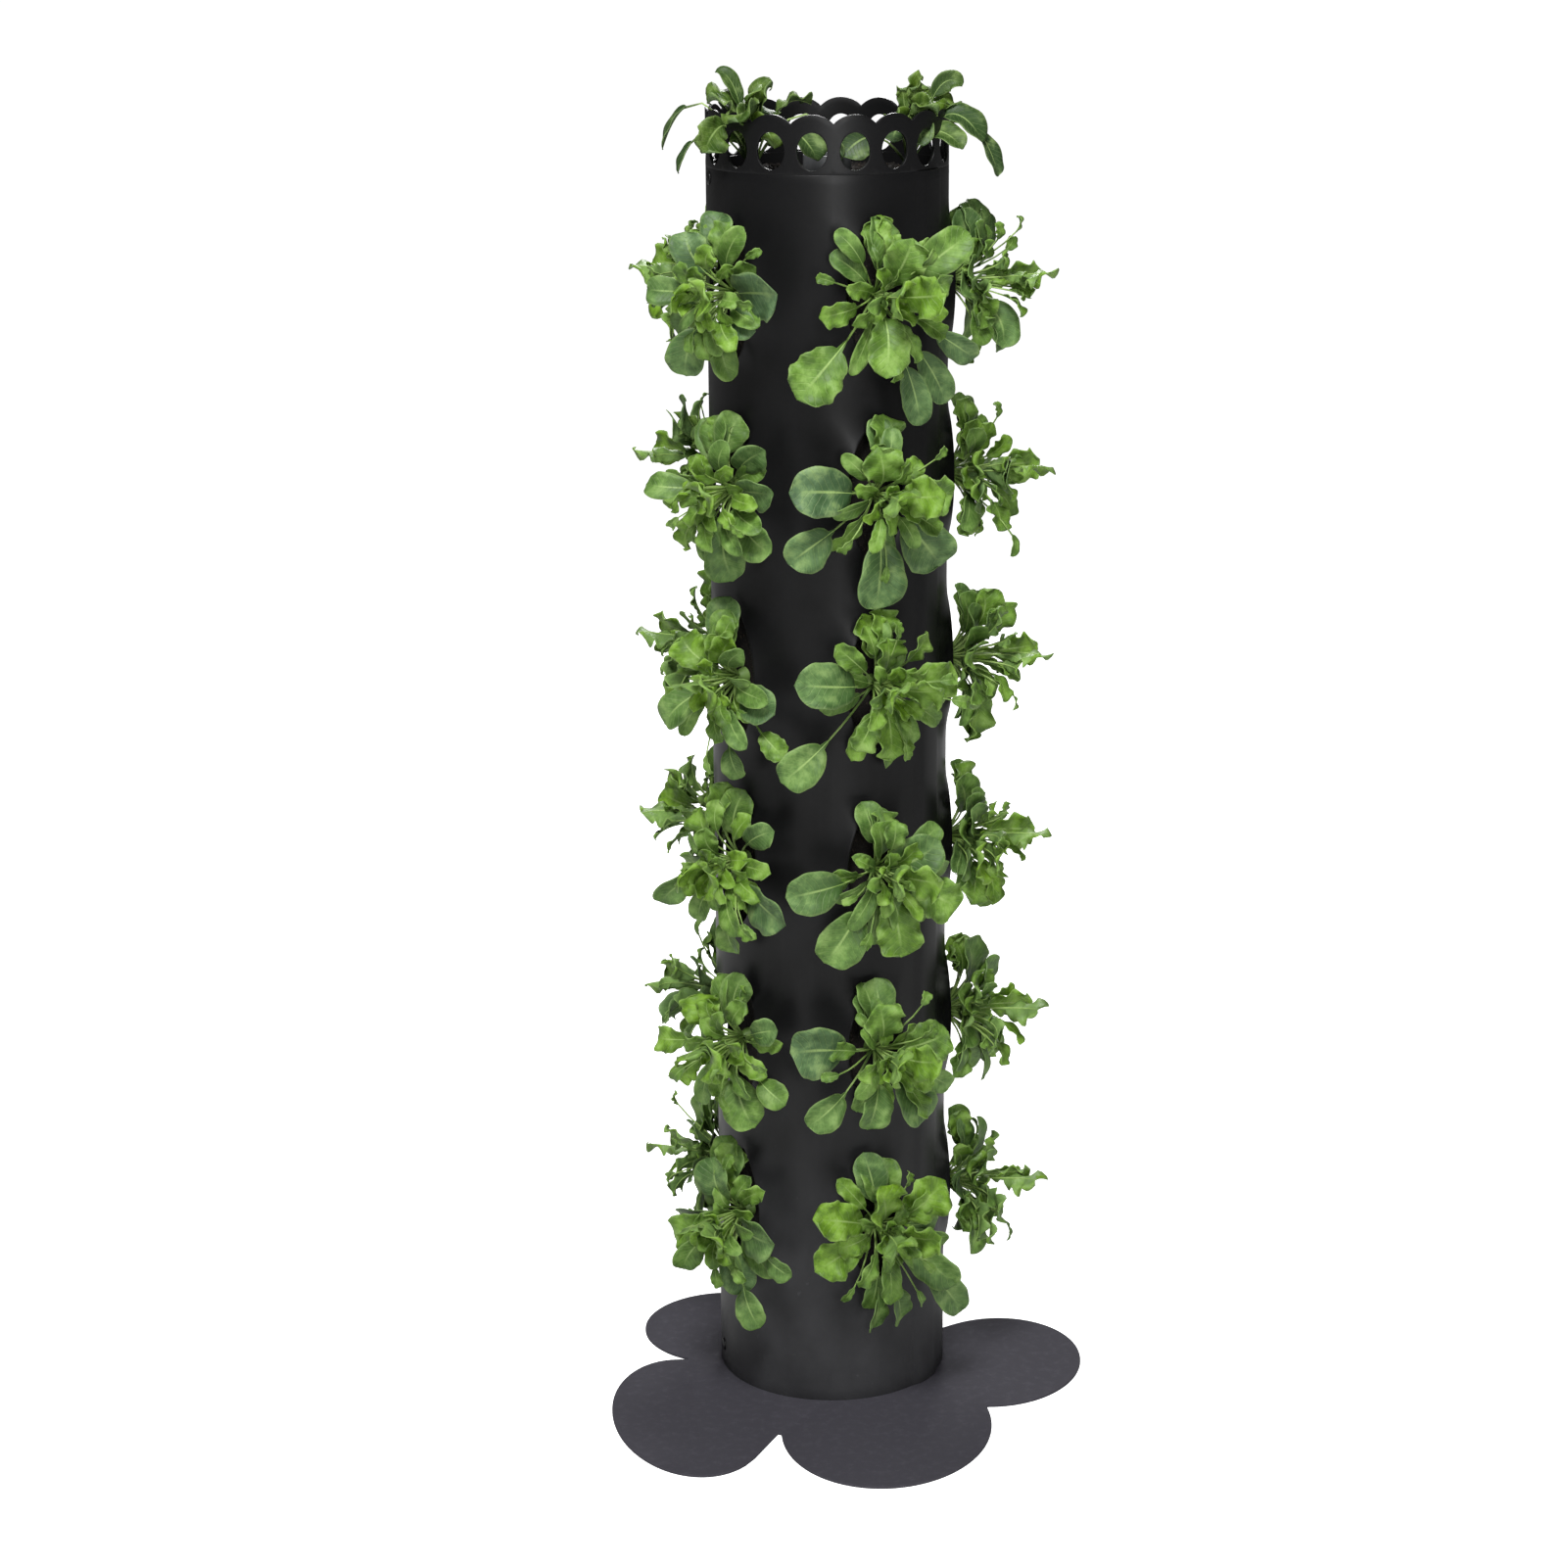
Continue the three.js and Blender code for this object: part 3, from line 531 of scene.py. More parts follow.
# Crumbs on a square metre, and the least and the most that a crumb is stretched along each axis
CRUMB_DENSITY = 30000.0
CRUMB_STRETCHES = ((0.35, 0.35, 0.25), (1.3, 1.0, 0.7))


def crumb_tree():
    """Crumbs of soil scattered over the faces that the crumb_density attribute marks."""
    inputs = [("Crumb", "Float", 0.0026), ("Density", "Float", CRUMB_DENSITY), ("Seed", "Int", 7)]
    tree = Growth("soil_crumbs", inputs)
    soil = tree.given["Geometry"]
    seed = tree.given["Seed"]
    wanted = tree.times(tree.attribute("crumb_density"), tree.given["Density"])
    feed = {"Density": wanted, "Seed": seed}
    points = tree.node("GeometryNodeDistributePointsOnFaces", soil, feed=feed)
    ball = tree.node("GeometryNodeMeshIcoSphere", tree.given["Crumb"], 1)
    turn = tree.random_vector((0, 0, 0), (2 * pi, 2 * pi, 2 * pi), seed)
    stretch = tree.random_vector(*CRUMB_STRETCHES, tree.plus(seed, 1))
    tree.end(tree.joined(soil, tree.instances(points, ball, turn, stretch)))


# How fast a blade curls up towards its edges, and how far its ruffles differ from edge to edge
CUP_POWER = 1.5
RUFFLE_SHIFT = 1.3
BLADE_WELD = 0.0000005


def leaf_tree():
    """Sweeps a cupped, ruffled blade and a stalk along every midrib, and thickens the blade."""
    inputs = [
        ("Across", "Int", 7),
        ("Cup", "Float", 0.3),
        ("Thickness", "Float", 0.0007),
        ("Stalk sides", "Int", 5),
        ("Weld", "Float", BLADE_WELD),
    ]
    tree = Growth("leaves_on_midribs", inputs)
    midribs = tree.node("GeometryNodeMeshToCurve", tree.given["Geometry"])
    facing = tree.attribute("facing", "FLOAT_VECTOR")
    midribs = tree.node("GeometryNodeSetCurveNormal", midribs, None, facing, mode="FREE")

    line = tree.node(
        "GeometryNodeMeshLine", tree.given["Across"], None, (0, -1, 0), (0, 1, 0), mode="END_POINTS"
    )
    place = tree.node("ShaderNodeSeparateXYZ", tree.node("GeometryNodeInputPosition"), out=1)
    rise = tree.math("POWER", tree.math("ABSOLUTE", place), CUP_POWER)
    cup = tree.node("ShaderNodeCombineXYZ", tree.times(rise, tree.given["Cup"]))
    line = tree.store(line, "across", place)
    line = tree.node("GeometryNodeSetPosition", line, None, None, cup)
    section = tree.node("GeometryNodeMeshToCurve", line)
    blade = tree.swept(midribs, section, "half_width")

    across = tree.attribute("across")
    edge = tree.times(across, across)
    swing = tree.plus(tree.attribute("phase"), tree.times(across, RUFFLE_SHIFT))
    wave = tree.times(tree.math("SINE", swing), tree.attribute("ruffle"))
    lift = tree.scaled(facing, tree.times(wave, edge))
    sweep = tree.scaled(tree.attribute("sweep", "FLOAT_VECTOR"), edge)
    blade = tree.node("GeometryNodeSetPosition", blade, None, None, tree.vector("ADD", lift, sweep))

    top = tree.node(
        "GeometryNodeExtrudeMesh", blade, None, None, tree.given["Thickness"], False, mode="FACES"
    )
    under = tree.store(tree.node("GeometryNodeFlipFaces", blade), "under", 1.0)
    blade = tree.node(
        "GeometryNodeMergeByDistance", tree.joined(top, under), None, tree.given["Weld"]
    )

    ring = tree.node("GeometryNodeCurvePrimitiveCircle", tree.given["Stalk sides"])
    stalk = tree.store(tree.swept(midribs, ring, "rib", True), "stalk", 1.0)
    tree.end(tree.node("GeometryNodeSetShadeSmooth", tree.joined(blade, stalk)))


# Shared effects, built once as shader groups


class Effect(Group):
    """A shader group that makes values from a place and its own settings."""

    def __init__(self, name, settings, results):
        inputs = [(label, "Float", value) for label, value in settings.items()]
        outputs = [(label, "Float") for label in results]
        super().__init__(name, "ShaderNodeTree", [("Place", "Vector", None), *inputs], outputs)
        self.place = self.given["Place"]


def grain_group():
    """Fine moulding grain of plastic: a height for bumps and a speckle for roughness."""
    settings = {"Scale": 1400.0, "Coarse share": 0.3}
    group = Effect("moulding_grain", settings, ("Height", "Speckle"))
    fine = group.noise(group.place, group.given["Scale"], 2.0)
    coarse = group.noise(group.place, 18.0, 4.0)
    speckle = group.times(coarse, group.given["Coarse share"])
    group.put(group.result["Height"], fine)
    group.put(group.result["Speckle"], group.plus(speckle, group.times(fine, 0.2)))


def dust_and_reflection_group():
    """Dust and dried splashes that thin out upwards from the floor; on the wall also painted light
    reflected from the floor.
    """
    group = Effect("settled_dust", {"Reach": 0.3, "Amount": 0.5}, ("Mask",))
    height = group.node("ShaderNodeSeparateXYZ", group.place, out=2)
    low = group.minus(1.0, group.ramp(height, 0.0, group.given["Reach"]))
    clouds = group.ramp(group.noise(group.place, 9.0, 6.0, 0.6), 0.2, 0.8)
    drops = group.ramp(group.noise(group.place, 130.0, 2.0), 0.7, 0.76)
    mask = group.plus(group.times(clouds, 0.5), group.times(drops, 0.3))
    mask = group.plus(mask, 0.35)
    amount = group.times(low, group.given["Amount"])
    group.put(group.result["Mask"], group.times(mask, amount, clamp=True))


def streak_group():
    """Faint rubbed streaks that run up a rolled or drawn wall."""
    group = Effect("rubbed_streaks", {"Stretch": 0.08}, ("Mask",))
    stretch = group.node("ShaderNodeCombineXYZ", 1.0, 1.0, group.given["Stretch"])
    place = group.vector("MULTIPLY", group.place, stretch)
    group.put(group.result["Mask"], group.ramp(group.noise(place, 90.0, 5.0, 0.7), 0.45, 0.8))


WHITE = (1, 1, 1, 1)


def opaque(colour, share=1):
    """A colour for a socket, darker or brighter by the share."""
    return (*[c * share for c in colour], 1.0)


class Finish(Nodes):
    """A material under construction, with constants set straight on its shader."""

    def __init__(self, name, **constants):
        self.material = bpy.data.materials.new(name)
        self.material.use_nodes = True
        super().__init__(self.material.node_tree)
        self.shader = self.tree.nodes["Principled BSDF"]
        for key, value in constants.items():
            self.set(key, value)
        self.place = self.node("ShaderNodeTexCoord", out=3)

    def set(self, key, link):
        """Sets a shader socket, named in lower case with underscores."""
        names = {s.name.lower().replace(" ", "_"): s for s in self.shader.inputs}
        self.put(names[key], link)

    def effect(self, name, out, **inputs):
        """Places a shared effect with its own values."""
        node = self.tree.nodes.new("ShaderNodeGroup")
        node.node_tree = bpy.data.node_groups[name]
        self.put(node.inputs["Place"], self.place)
        for key, value in inputs.items():
            self.put(node.inputs[key.replace("_", " ").capitalize()], value)
        return node.outputs[out]

    def attribute(self, name):
        return self.node("ShaderNodeAttribute", attribute_name=name, out=2)

    def roughness(self, start, mask, share):
        """Makes the surface rougher than its start where the mask is high."""
        self.set("roughness", self.plus(start, self.times(mask, share)))

    def bump(self, height, strength, distance):
        feed = {"Height": height, "Strength": strength, "Distance": distance}
        self.set("normal", self.node("ShaderNodeBump", feed=feed))


def plastic(name, base, rough, dust_reach, dust_amount, grain=1400.0, bump=0.12, shine=0.22):
    """Moulded or rolled plastic with grain, rubbed streaks, and dust from the floor up that on the wall
    is also painted floor reflection.
    """
    finish = Finish(name, specular_ior_level=shine)
    speckle = finish.effect("moulding_grain", "Speckle", scale=grain)
    streaks = finish.effect("rubbed_streaks", "Mask")
    dust_and_reflection = finish.effect("settled_dust", "Mask", reach=dust_reach, amount=dust_amount)
    tone = finish.mix(finish.times(streaks, 0.45), opaque(base), opaque(base, 1.7))
    finish.set("base_color", finish.mix(dust_and_reflection, tone, opaque(colours().dust_and_reflection)))
    rough = finish.plus(rough, finish.times(speckle, 0.18))
    rough = finish.plus(rough, finish.times(dust_and_reflection, 0.25))
    finish.set("roughness", finish.minus(rough, finish.times(streaks, 0.05)))
    finish.bump(finish.effect("moulding_grain", "Height", scale=grain), bump, 0.0002)
    return finish.material


def steel_material():
    """Turned stainless steel."""
    finish = Finish("screw_steel", metallic=1.0)
    speckle = finish.effect("moulding_grain", "Speckle", scale=2600.0)
    steel = colours().steel
    finish.set("base_color", finish.mix(speckle, opaque(steel), opaque(steel, 0.6)))
    finish.roughness(0.22, speckle, 0.3)
    finish.bump(speckle, 0.08, 0.0001)
    return finish.material


def soil_material():
    """Moist potting soil with paler bark and fibre, darkened overall as painted shade for the soil in
    the slits.
    """
    finish = Finish("potting_soil", specular_ior_level=0.25)
    clods = finish.noise(finish.place, 60.0, 8.0, 0.7)
    bits = finish.ramp(finish.noise(finish.place, 420.0, 3.0), 0.62, 0.7)
    soil = colours().soil
    tone = finish.mix(finish.ramp(clods, 0.35, 0.65), opaque(soil, 0.35), opaque(soil))
    finish.set("base_color", finish.mix(bits, tone, opaque(colours().soil_bits)))
    finish.roughness(0.72, clods, 0.25)
    finish.bump(clods, 0.9, 0.004)
    return finish.material


# The colour of the leaves' painted shade, also the dark of their mottling
LEAF_SHADE = (0.0, 0.02, 0.0)
LEAF_UNDERSIDE = (0.2, 0.3, 0.14)


def leaf_material(name, dark, bright):
    """Leaves: tone by leaf, pale veins, mottled blade, paler underside and green stalks, with painted
    shade towards each blade's base and each stalk's root.
    """
    finish = Finish(name, specular_ior_level=0.28)
    carried = ("tone", "along", "across", "stalk", "under")
    tone, along, across, stalk, under = (finish.attribute(label) for label in carried)
    side = finish.math("ABSOLUTE", across)

    dark = opaque(dark)
    bright = opaque(bright)
    pale = opaque(colours().stalk)
    mottle = finish.noise(finish.place, 55.0, 5.0, 0.6)
    blade = finish.mix(tone, dark, bright)
    deep = finish.mix(0.6, blade, opaque(LEAF_SHADE))
    blade = finish.mix(finish.ramp(mottle, 0.62, 0.32), blade, deep)
    # Painted shade: each blade darkens towards its base, deep in the plant
    blade = finish.mix(finish.times(finish.ramp(along, 0.65, -0.1), 0.85), blade, deep)
    blade = finish.mix(finish.times(finish.ramp(mottle, 0.5, 0.72), 0.35), blade, pale)

    ray = finish.times(along, 8.0)
    ray = finish.minus(ray, finish.times(side, 2.2))
    wander = finish.times(finish.noise(finish.place, 40.0, 2.0), 1.2)
    ray = finish.math("PINGPONG", finish.plus(ray, wander), 0.5)
    on_blade = finish.ramp(along, 0.02, 0.1)
    side_veins = finish.times(finish.ramp(ray, 0.09, 0.0), on_blade)
    midrib = finish.times(finish.ramp(side, 0.08, 0.02), finish.ramp(along, 0.95, 0.35))
    veins = finish.math("MAXIMUM", finish.times(side_veins, 0.3), midrib)
    blade = finish.mix(finish.times(veins, 0.6), blade, pale)
    rim = finish.times(finish.ramp(side, 0.86, 1.0), 0.22)
    blade = finish.mix(rim, blade, pale)
    blade = finish.mix(finish.times(under, 0.3), blade, opaque(LEAF_UNDERSIDE))
    stem = finish.mix(finish.ramp(mottle, 0.7, 0.3), pale, finish.mix(0.5, pale, bright))
    # Painted shade: stalks darken towards the root
    stem = finish.mix(finish.times(finish.ramp(along, -0.2, -0.9), 0.75), stem, deep)
    finish.set("base_color", finish.mix(stalk, blade, stem))

    finish.roughness(0.42, mottle, 0.22)
    crinkle = finish.noise(finish.place, 240.0, 3.0)
    height = finish.minus(finish.times(crinkle, 0.6), side_veins)
    finish.bump(height, 0.45, 0.0009)
    return finish.material


def floor_material():
    """A pale floor that shows as white to the camera, with the shadows kept."""
    finish = Finish("studio_floor", roughness=0.9, specular_ior_level=0.0)
    mottle = finish.noise(finish.place, 2.0)
    pale = opaque(colours().floor)
    finish.set("base_color", finish.mix(finish.times(mottle, 0.02), pale, WHITE))
    finish.set("emission_color", WHITE)
    finish.set("emission_strength", finish.times(background_rays(finish), 0.92))
    return finish.material


def background_rays(nodes):
    """1 on rays that show the background, straight from the camera or through glass."""
    path = nodes.tree.nodes.new("ShaderNodeLightPath")
    return nodes.math("MAXIMUM", path.outputs["Is Camera Ray"], path.outputs["Is Transmission Ray"])


# Studio


CAMERA_PLACE = (0.0, -3.5, 1.649)
CAMERA_PITCH = 15.62
CAMERA_YAW = -0.808
CAMERA_ROLL = -0.454
FOCAL_PX = 3438
WORLD_LIGHT = 0.12
FLOOR_REACH = 60
# Each softbox's place, the height on the tower's axis that it faces, its width, height and power
SOFTBOXES = {
    "front_softbox": ((0.5, -3.4, 1.7), 0.9, 0.42, 1.5, 36),
    "top_softbox": ((-0.45, -2.7, 4.2), 0.8, 1.2, 1.2, 262),
    "back_softbox": ((0.2, 3.2, 2.8), 0.7, 0.9, 0.9, 80),
}


def add_camera():
    """The camera at the photograph's place and angle."""
    camera = bpy.data.cameras.new("camera")
    camera.sensor_width = SENSOR
    camera.lens = FOCAL_PX / IMAGE_PX * SENSOR
    camera.clip_end = FLOOR_REACH * 3
    obj = bpy.data.objects.new("camera", camera)
    yaw, pitch, roll = (radians(a) for a in (CAMERA_YAW, CAMERA_PITCH, CAMERA_ROLL))
    look = Vector((sin(yaw) * cos(pitch), cos(yaw) * cos(pitch), -sin(pitch)))
    right = look.cross(Vector(UP)).normalized()
    up = right.cross(look)
    tilted_right = right * cos(roll) + up * sin(roll)
    tilted_up = up * cos(roll) - right * sin(roll)
    obj.matrix_world = Matrix.Translation(CAMERA_PLACE) @ (
        Matrix((tilted_right, tilted_up, -look)).transposed().to_4x4()
    )
    bpy.context.scene.collection.objects.link(obj)
    bpy.context.scene.camera = obj


def add_softbox(name, place, aim, width, height, power):
    """A lamp that faces the tower's axis at the height of its aim."""
    light = bpy.data.lights.new(name, "AREA")
    light.shape = "RECTANGLE"
    light.size = width
    light.size_y = height
    light.energy = power
    obj = bpy.data.objects.new(name, light)
    obj.location = place
    obj.rotation_mode = "QUATERNION"
    obj.rotation_quaternion = (Vector((0, 0, aim)) - Vector(place)).to_track_quat("-Z", "Y")
    bpy.context.scene.collection.objects.link(obj)


def add_world():
    """Soft white surroundings, at full white only where they show."""
    world = bpy.data.worlds.new("studio")
    bpy.context.scene.world = world
    world.use_nodes = True
    nodes = Nodes(world.node_tree)
    background = world.node_tree.nodes["Background"]
    background.inputs["Color"].default_value = WHITE
    shown = background_rays(nodes)
    strength = nodes.plus(WORLD_LIGHT, nodes.times(shown, 1 - WORLD_LIGHT))
    nodes.put(background.inputs["Strength"], strength)


def add_floor():
    """The floor, which reaches far beyond the picture."""
    sides = ((-1, -1), (1, -1), (1, 1), (-1, 1))
    corners = [(x * FLOOR_REACH, y * FLOOR_REACH, 0) for x, y in sides]
    floor = add_mesh("studio_floor", corners, [(0, 1, 2, 3)])
    paint(floor, floor_material())


# Foot plate


# Each petal is an ellipse: its centre and its two half axes, in plate reaches,
# then its turn in degrees
PETAL_SHARES = (
    ((0.03, 0.42), (0.385, 0.385), 0),
    ((-0.429, 0.241), (0.333, 0.333), 0),
    ((-0.549, -0.567), (0.504, 0.295), -78.8),
    ((0.208, -0.654), (0.505, 0.4), 81),
    ((0.646, -0.084), (0.339, 0.406), -17.7),
)
HUB_SHARE = 0.585
HUB_SHIFT_SHARE = -0.17
OUTLINE_POINTS = 540
PLATE_ROUNDING_SHARE = 0.2
DRILL_SEGMENTS = 32


def ray_to_petal(petal, start, turn):
    """How far a ray from the start leaves a petal, or 0 where it misses it."""
    (x, y), (long, short), tilt = petal
    tilt = radians(tilt)
    ray = np.array((cos(turn - tilt) / long, sin(turn - tilt) / short))
    away = np.array((start[0] - x, start[1] - y))
    away = np.array((
        (away[0] * cos(tilt) + away[1] * sin(tilt)) / long,
        (away[1] * cos(tilt) - away[0] * sin(tilt)) / short,
    ))
    square, slope, rest = ray @ ray, ray @ away, away @ away - 1
    inside = slope * slope - square * rest
    if inside < 0:
        return 0.0
    return max(0.0, (sqrt(inside) - slope) / square)


def plate_outline():
    """The petals' common outline, by the angle round the hub."""
    reach = sizes().plate_reach
    hub = (0.0, HUB_SHIFT_SHARE)
    shapes = [*PETAL_SHARES, (hub, (HUB_SHARE, HUB_SHARE), 0)]
    points = []
    for i in range(OUTLINE_POINTS):
        turn = 2 * pi * i / OUTLINE_POINTS
        far = max(ray_to_petal(shape, hub, turn) for shape in shapes)
        points.append(((hub[0] + far * cos(turn)) * reach, (hub[1] + far * sin(turn)) * reach))
    return points


def copied(name, pattern, places, outwards, material):
    """Copies of a pattern at the places, each stood outwards, as one mesh. The pattern is removed."""
    obj = add_mesh(name, places)
    put_attribute(obj, "outward", [tuple(o) for o in outwards], "FLOAT_VECTOR")
    run_tree(obj, "copies_on_points", pattern=pattern, material=material)
    drop(pattern)
    return obj


def drill(obj, places, steps):
    """Cuts upright round holes that start at the places. Each step is a radius and a height."""
    profile = [(0, steps[0][1]), *steps, (0, steps[-1][1])]
    rod = turned_piece("drill", profile, DRILL_SEGMENTS)
    drills = copied("drills", rod, places, [UP] * len(places), None)
    add_modifier(obj, "BOOLEAN", operation="DIFFERENCE", solver="EXACT", object=drills)
    flatten(obj)
    drop(drills)


def screw_places():
    """Where the screws stand, at floor level."""
    return [around(azimuth, SCREW_CIRCLE, 0) for azimuth in SCREW_AZIMUTHS]


def build_foot_plate():
    """The flower-shaped plate, with rounded edges, drain holes and stepped screw holes."""
    thick = sizes().plate_thick
    outline = plate_outline()
    count = len(outline)
    vertices = [(x, y, z) for z in (0, thick) for x, y in outline]
    faces = [list(range(count))[::-1], list(range(count, 2 * count))]
    faces += [(i, (i + 1) % count, (i + 1) % count + count, i + count) for i in range(count)]
    plate = add_mesh("foot_plate_petals", vertices, faces)
    round_edges(plate, thick * PLATE_ROUNDING_SHARE, 3)
    drains = [around(360 / DRAIN_HOLES * i, DRAIN_CIRCLE, 0) for i in range(DRAIN_HOLES)]
    drill(plate, drains, [(DRAIN_HOLE_RADIUS, -thick), (DRAIN_HOLE_RADIUS, 2 * thick)])
    gap = sizes().fit_gap
    head = SCREW_HEAD_RADIUS + gap
    shank = SCREW_SHANK_RADIUS + gap
    seat = SCREW_HEAD_THICK + 2 * gap
    steps = [(head, -thick), (head, seat), (shank, seat), (shank, 2 * thick)]
    drill(plate, screw_places(), steps)
    shade(plate, SOLID_SHARP)
    grain = {"grain": 900.0, "bump": 0.2, "shine": 0.06}
    look = {"rough": 0.66, "dust_reach": 0.02, "dust_amount": 0.12, **grain}
    paint(plate, plastic("charcoal_sheet", colours().plate, **look))
    finish_piece(plate, "plate", "foot_plate")


# Rolled wall


CELL_SEGMENTS = 14
SIDE_SEGMENTS = 12
FOOT_SEGMENTS = 8
HEAD_SEGMENTS = 2
LAP_SEGMENTS = 4
STEP_SEGMENTS = 5
LIP_FADES = (0, 0.04, 0.1, 0.18, 0.28, 0.42, 0.6, 0.8, 1)
SLIT_POINT_POWER = 1.5


def row_height(row):
    """The height of a row's slit centres."""
    return sizes().first_row + sizes().row_pitch * row


def column_azimuth(column):
    """The azimuth of a column of slits."""
    return FRONT_COLUMN_AZIMUTH + 360 / sizes().columns * column


def slit_band():
    """The heights between which the rows' cells lie."""
    low = sizes().first_row - sizes().row_pitch / 2
    return low, low + sizes().rows * sizes().row_pitch


def add_slit_cell(sheet, west, east, slit_azimuth, centre):
    """One planting slit with its bulged lips, and the wall round it out to the edges of its cell."""
    half_pitch = sizes().row_pitch / 2
    heights = (centre - half_pitch, centre + half_pitch)
    border = box_border(west, east, *heights, CELL_SEGMENTS, SIDE_SEGMENTS)
    half_width = degrees(sizes().slit_width / 2 / sizes().tube_radius)
    hole = []
    rises = []
    for azimuth, height in border:
        reach = east - slit_azimuth if azimuth > slit_azimuth else slit_azimuth - west
        turn = atan2((height - centre) / half_pitch, (azimuth - slit_azimuth) / reach)
        bow = np.sign(cos(turn)) * abs(cos(turn)) ** SLIT_POINT_POWER
        hole.append((slit_azimuth + half_width * bow, centre + sizes().slit_height / 2 * sin(turn)))
        rises.append(sizes().lip_rise * cos(turn) ** 2)
    sheet.rings(border, hole, LIP_FADES, rises)


def build_wall():
    """The rolled wall: a cell round each slit, bands below and above, and the lap's two layers."""
    s = sizes()
    inner_end = SEAM_AZIMUTH - SEAM_HALF_LAP
    first_west = SEAM_AZIMUTH + SEAM_HALF_LAP
    last_east = inner_end - SEAM_STEP + 360
    middles = [column_azimuth(column + 0.5) for column in range(1, s.columns)]
    edges = [first_west, *middles, last_east]
    low, high = slit_band()
    foot = evenly(s.wall_bottom, low, FOOT_SEGMENTS)
    head = evenly(high, s.wall_top, HEAD_SEGMENTS)
    sheet = Sheet()
    for column, (west, east) in enumerate(zip(edges, edges[1:]), 1):
        across = evenly(west, east, CELL_SEGMENTS)
        sheet.strip(across, foot)
        sheet.strip(across, head)
        for row in range(s.rows):
            add_slit_cell(sheet, west, east, column_azimuth(column), row_height(row))
    heights = foot[:-1] + evenly(low, high, s.rows * SIDE_SEGMENTS)[:-1] + head
    sheet.strip(evenly(inner_end, first_west, LAP_SEGMENTS), heights)
    step = evenly(last_east, inner_end + 360, STEP_SEGMENTS)
    outer = evenly(inner_end + 360, first_west + 360, LAP_SEGMENTS)
    lap_lift = s.sheet_thick + s.fit_gap
    lifts = [lap_lift * (0.5 - 0.5 * cos(turn)) for turn in evenly(0, pi, STEP_SEGMENTS)]
    sheet.strip(step + outer[1:], heights, lifts + [lap_lift] * LAP_SEGMENTS)
    wall = sheet.to_object("rolled_wall", s.tube_radius)
    thicken(wall, s.sheet_thick)
    shade(wall, SHEET_SHARP)
    paint(wall, bpy.data.materials["black_sheet"])
    finish_piece(wall, "wall", "tower_wall")


# Crown


LOBE_ACROSS = 16
LOBE_UPWARD = 8
CROWN_FADES = (0, 0.12, 0.35, 0.65, 1)
SPIGOT_SEGMENTS = 144


def build_crown():
    """The band of round lobes with a hole in each, and the spigot that fits in the wall."""
    s = sizes()
    half = 180 / s.scallops
    top = s.wall_top + s.scallop_height
    notch = top - s.scallop_depth
    half_arc = radians(half) * s.tube_radius
    lobe_radius = (half_arc**2 + s.scallop_depth**2) / (2 * s.scallop_depth)
    centre = top - s.crown_hole_sink
    border = []
    for azimuth, height in box_border(-half, half, s.wall_top, notch, LOBE_ACROSS, LOBE_UPWARD):
        if height == notch:
            x = radians(azimuth) * s.tube_radius
            height = top + sqrt(lobe_radius**2 - x**2) - lobe_radius
        border.append((azimuth, height))
    half_hole = degrees(s.crown_hole_width / 2 / s.tube_radius)
    hole = []
    for azimuth, height in border:
        turn = atan2(height - centre, radians(azimuth) * s.tube_radius)
        hole.append((half_hole * cos(turn), centre + s.crown_hole_height / 2 * sin(turn)))
    sector = Sheet()
    sector.rings(border, hole, CROWN_FADES)
    crown = sector.to_object("crown_band", s.tube_radius)
    crown.data.transform(Matrix.Rotation(radians(FIRST_SCALLOP_AZIMUTH), 4, "Z"))
    black = bpy.data.materials["black_sheet"]
    run_tree(crown, "scallop_ring", count=s.scallops, material=black)
    thicken(crown, s.sheet_thick)
    inside = s.spigot_radius - s.sheet_thick
    shoulder = s.tube_radius - s.sheet_thick + s.fit_gap
    profile = [
        (inside, s.wall_top - s.spigot_depth),
        (s.spigot_radius, s.wall_top - s.spigot_depth),
        (s.spigot_radius, s.wall_top + s.fit_gap),
        (shoulder, s.wall_top + s.fit_gap),
        (shoulder, s.wall_top + s.sheet_thick),
        (inside, s.wall_top + s.sheet_thick),
    ]
    join(crown, turned_piece("crown_spigot", profile, SPIGOT_SEGMENTS))
    shade(crown, SHEET_SHARP)
    paint(crown, black)
    finish_piece(crown, "wall", "scalloped_crown")


# Fasteners


RIVET_HEAD_RADIUS = 0.007
RIVET_HEAD_THICK = 0.0024
RIVET_SHANK_RADIUS = 0.003
RIVET_FOOT_RADIUS = 0.0044
RIVET_FOOT_THICK = 0.001
RIVET_RIM_SHARE = 0.25
RIVET_SEGMENTS = 24
DOME_SEGMENTS = 5
SCREW_HEAD_RADIUS = 0.005
SCREW_HEAD_THICK = 0.0015
SCREW_SHANK_RADIUS = 0.0025
SCREW_LENGTH = 0.0086
SCREW_THREAD = 0.0008
SCREW_CORE_SHARE = 0.82
SCREW_TIP_SHARE = 0.6
SCREW_SEGMENTS = 20
RECESS_DEPTH_SHARE = 0.6
RECESS_FLOOR_SHARE = 0.45
RECESS_MOUTH_SHARE = 0.5


def numbered(name, items):
    """The names of as many nodes as there are items, from 1."""
    return [f"{name}_{i + 1}" for i in range(len(items))]


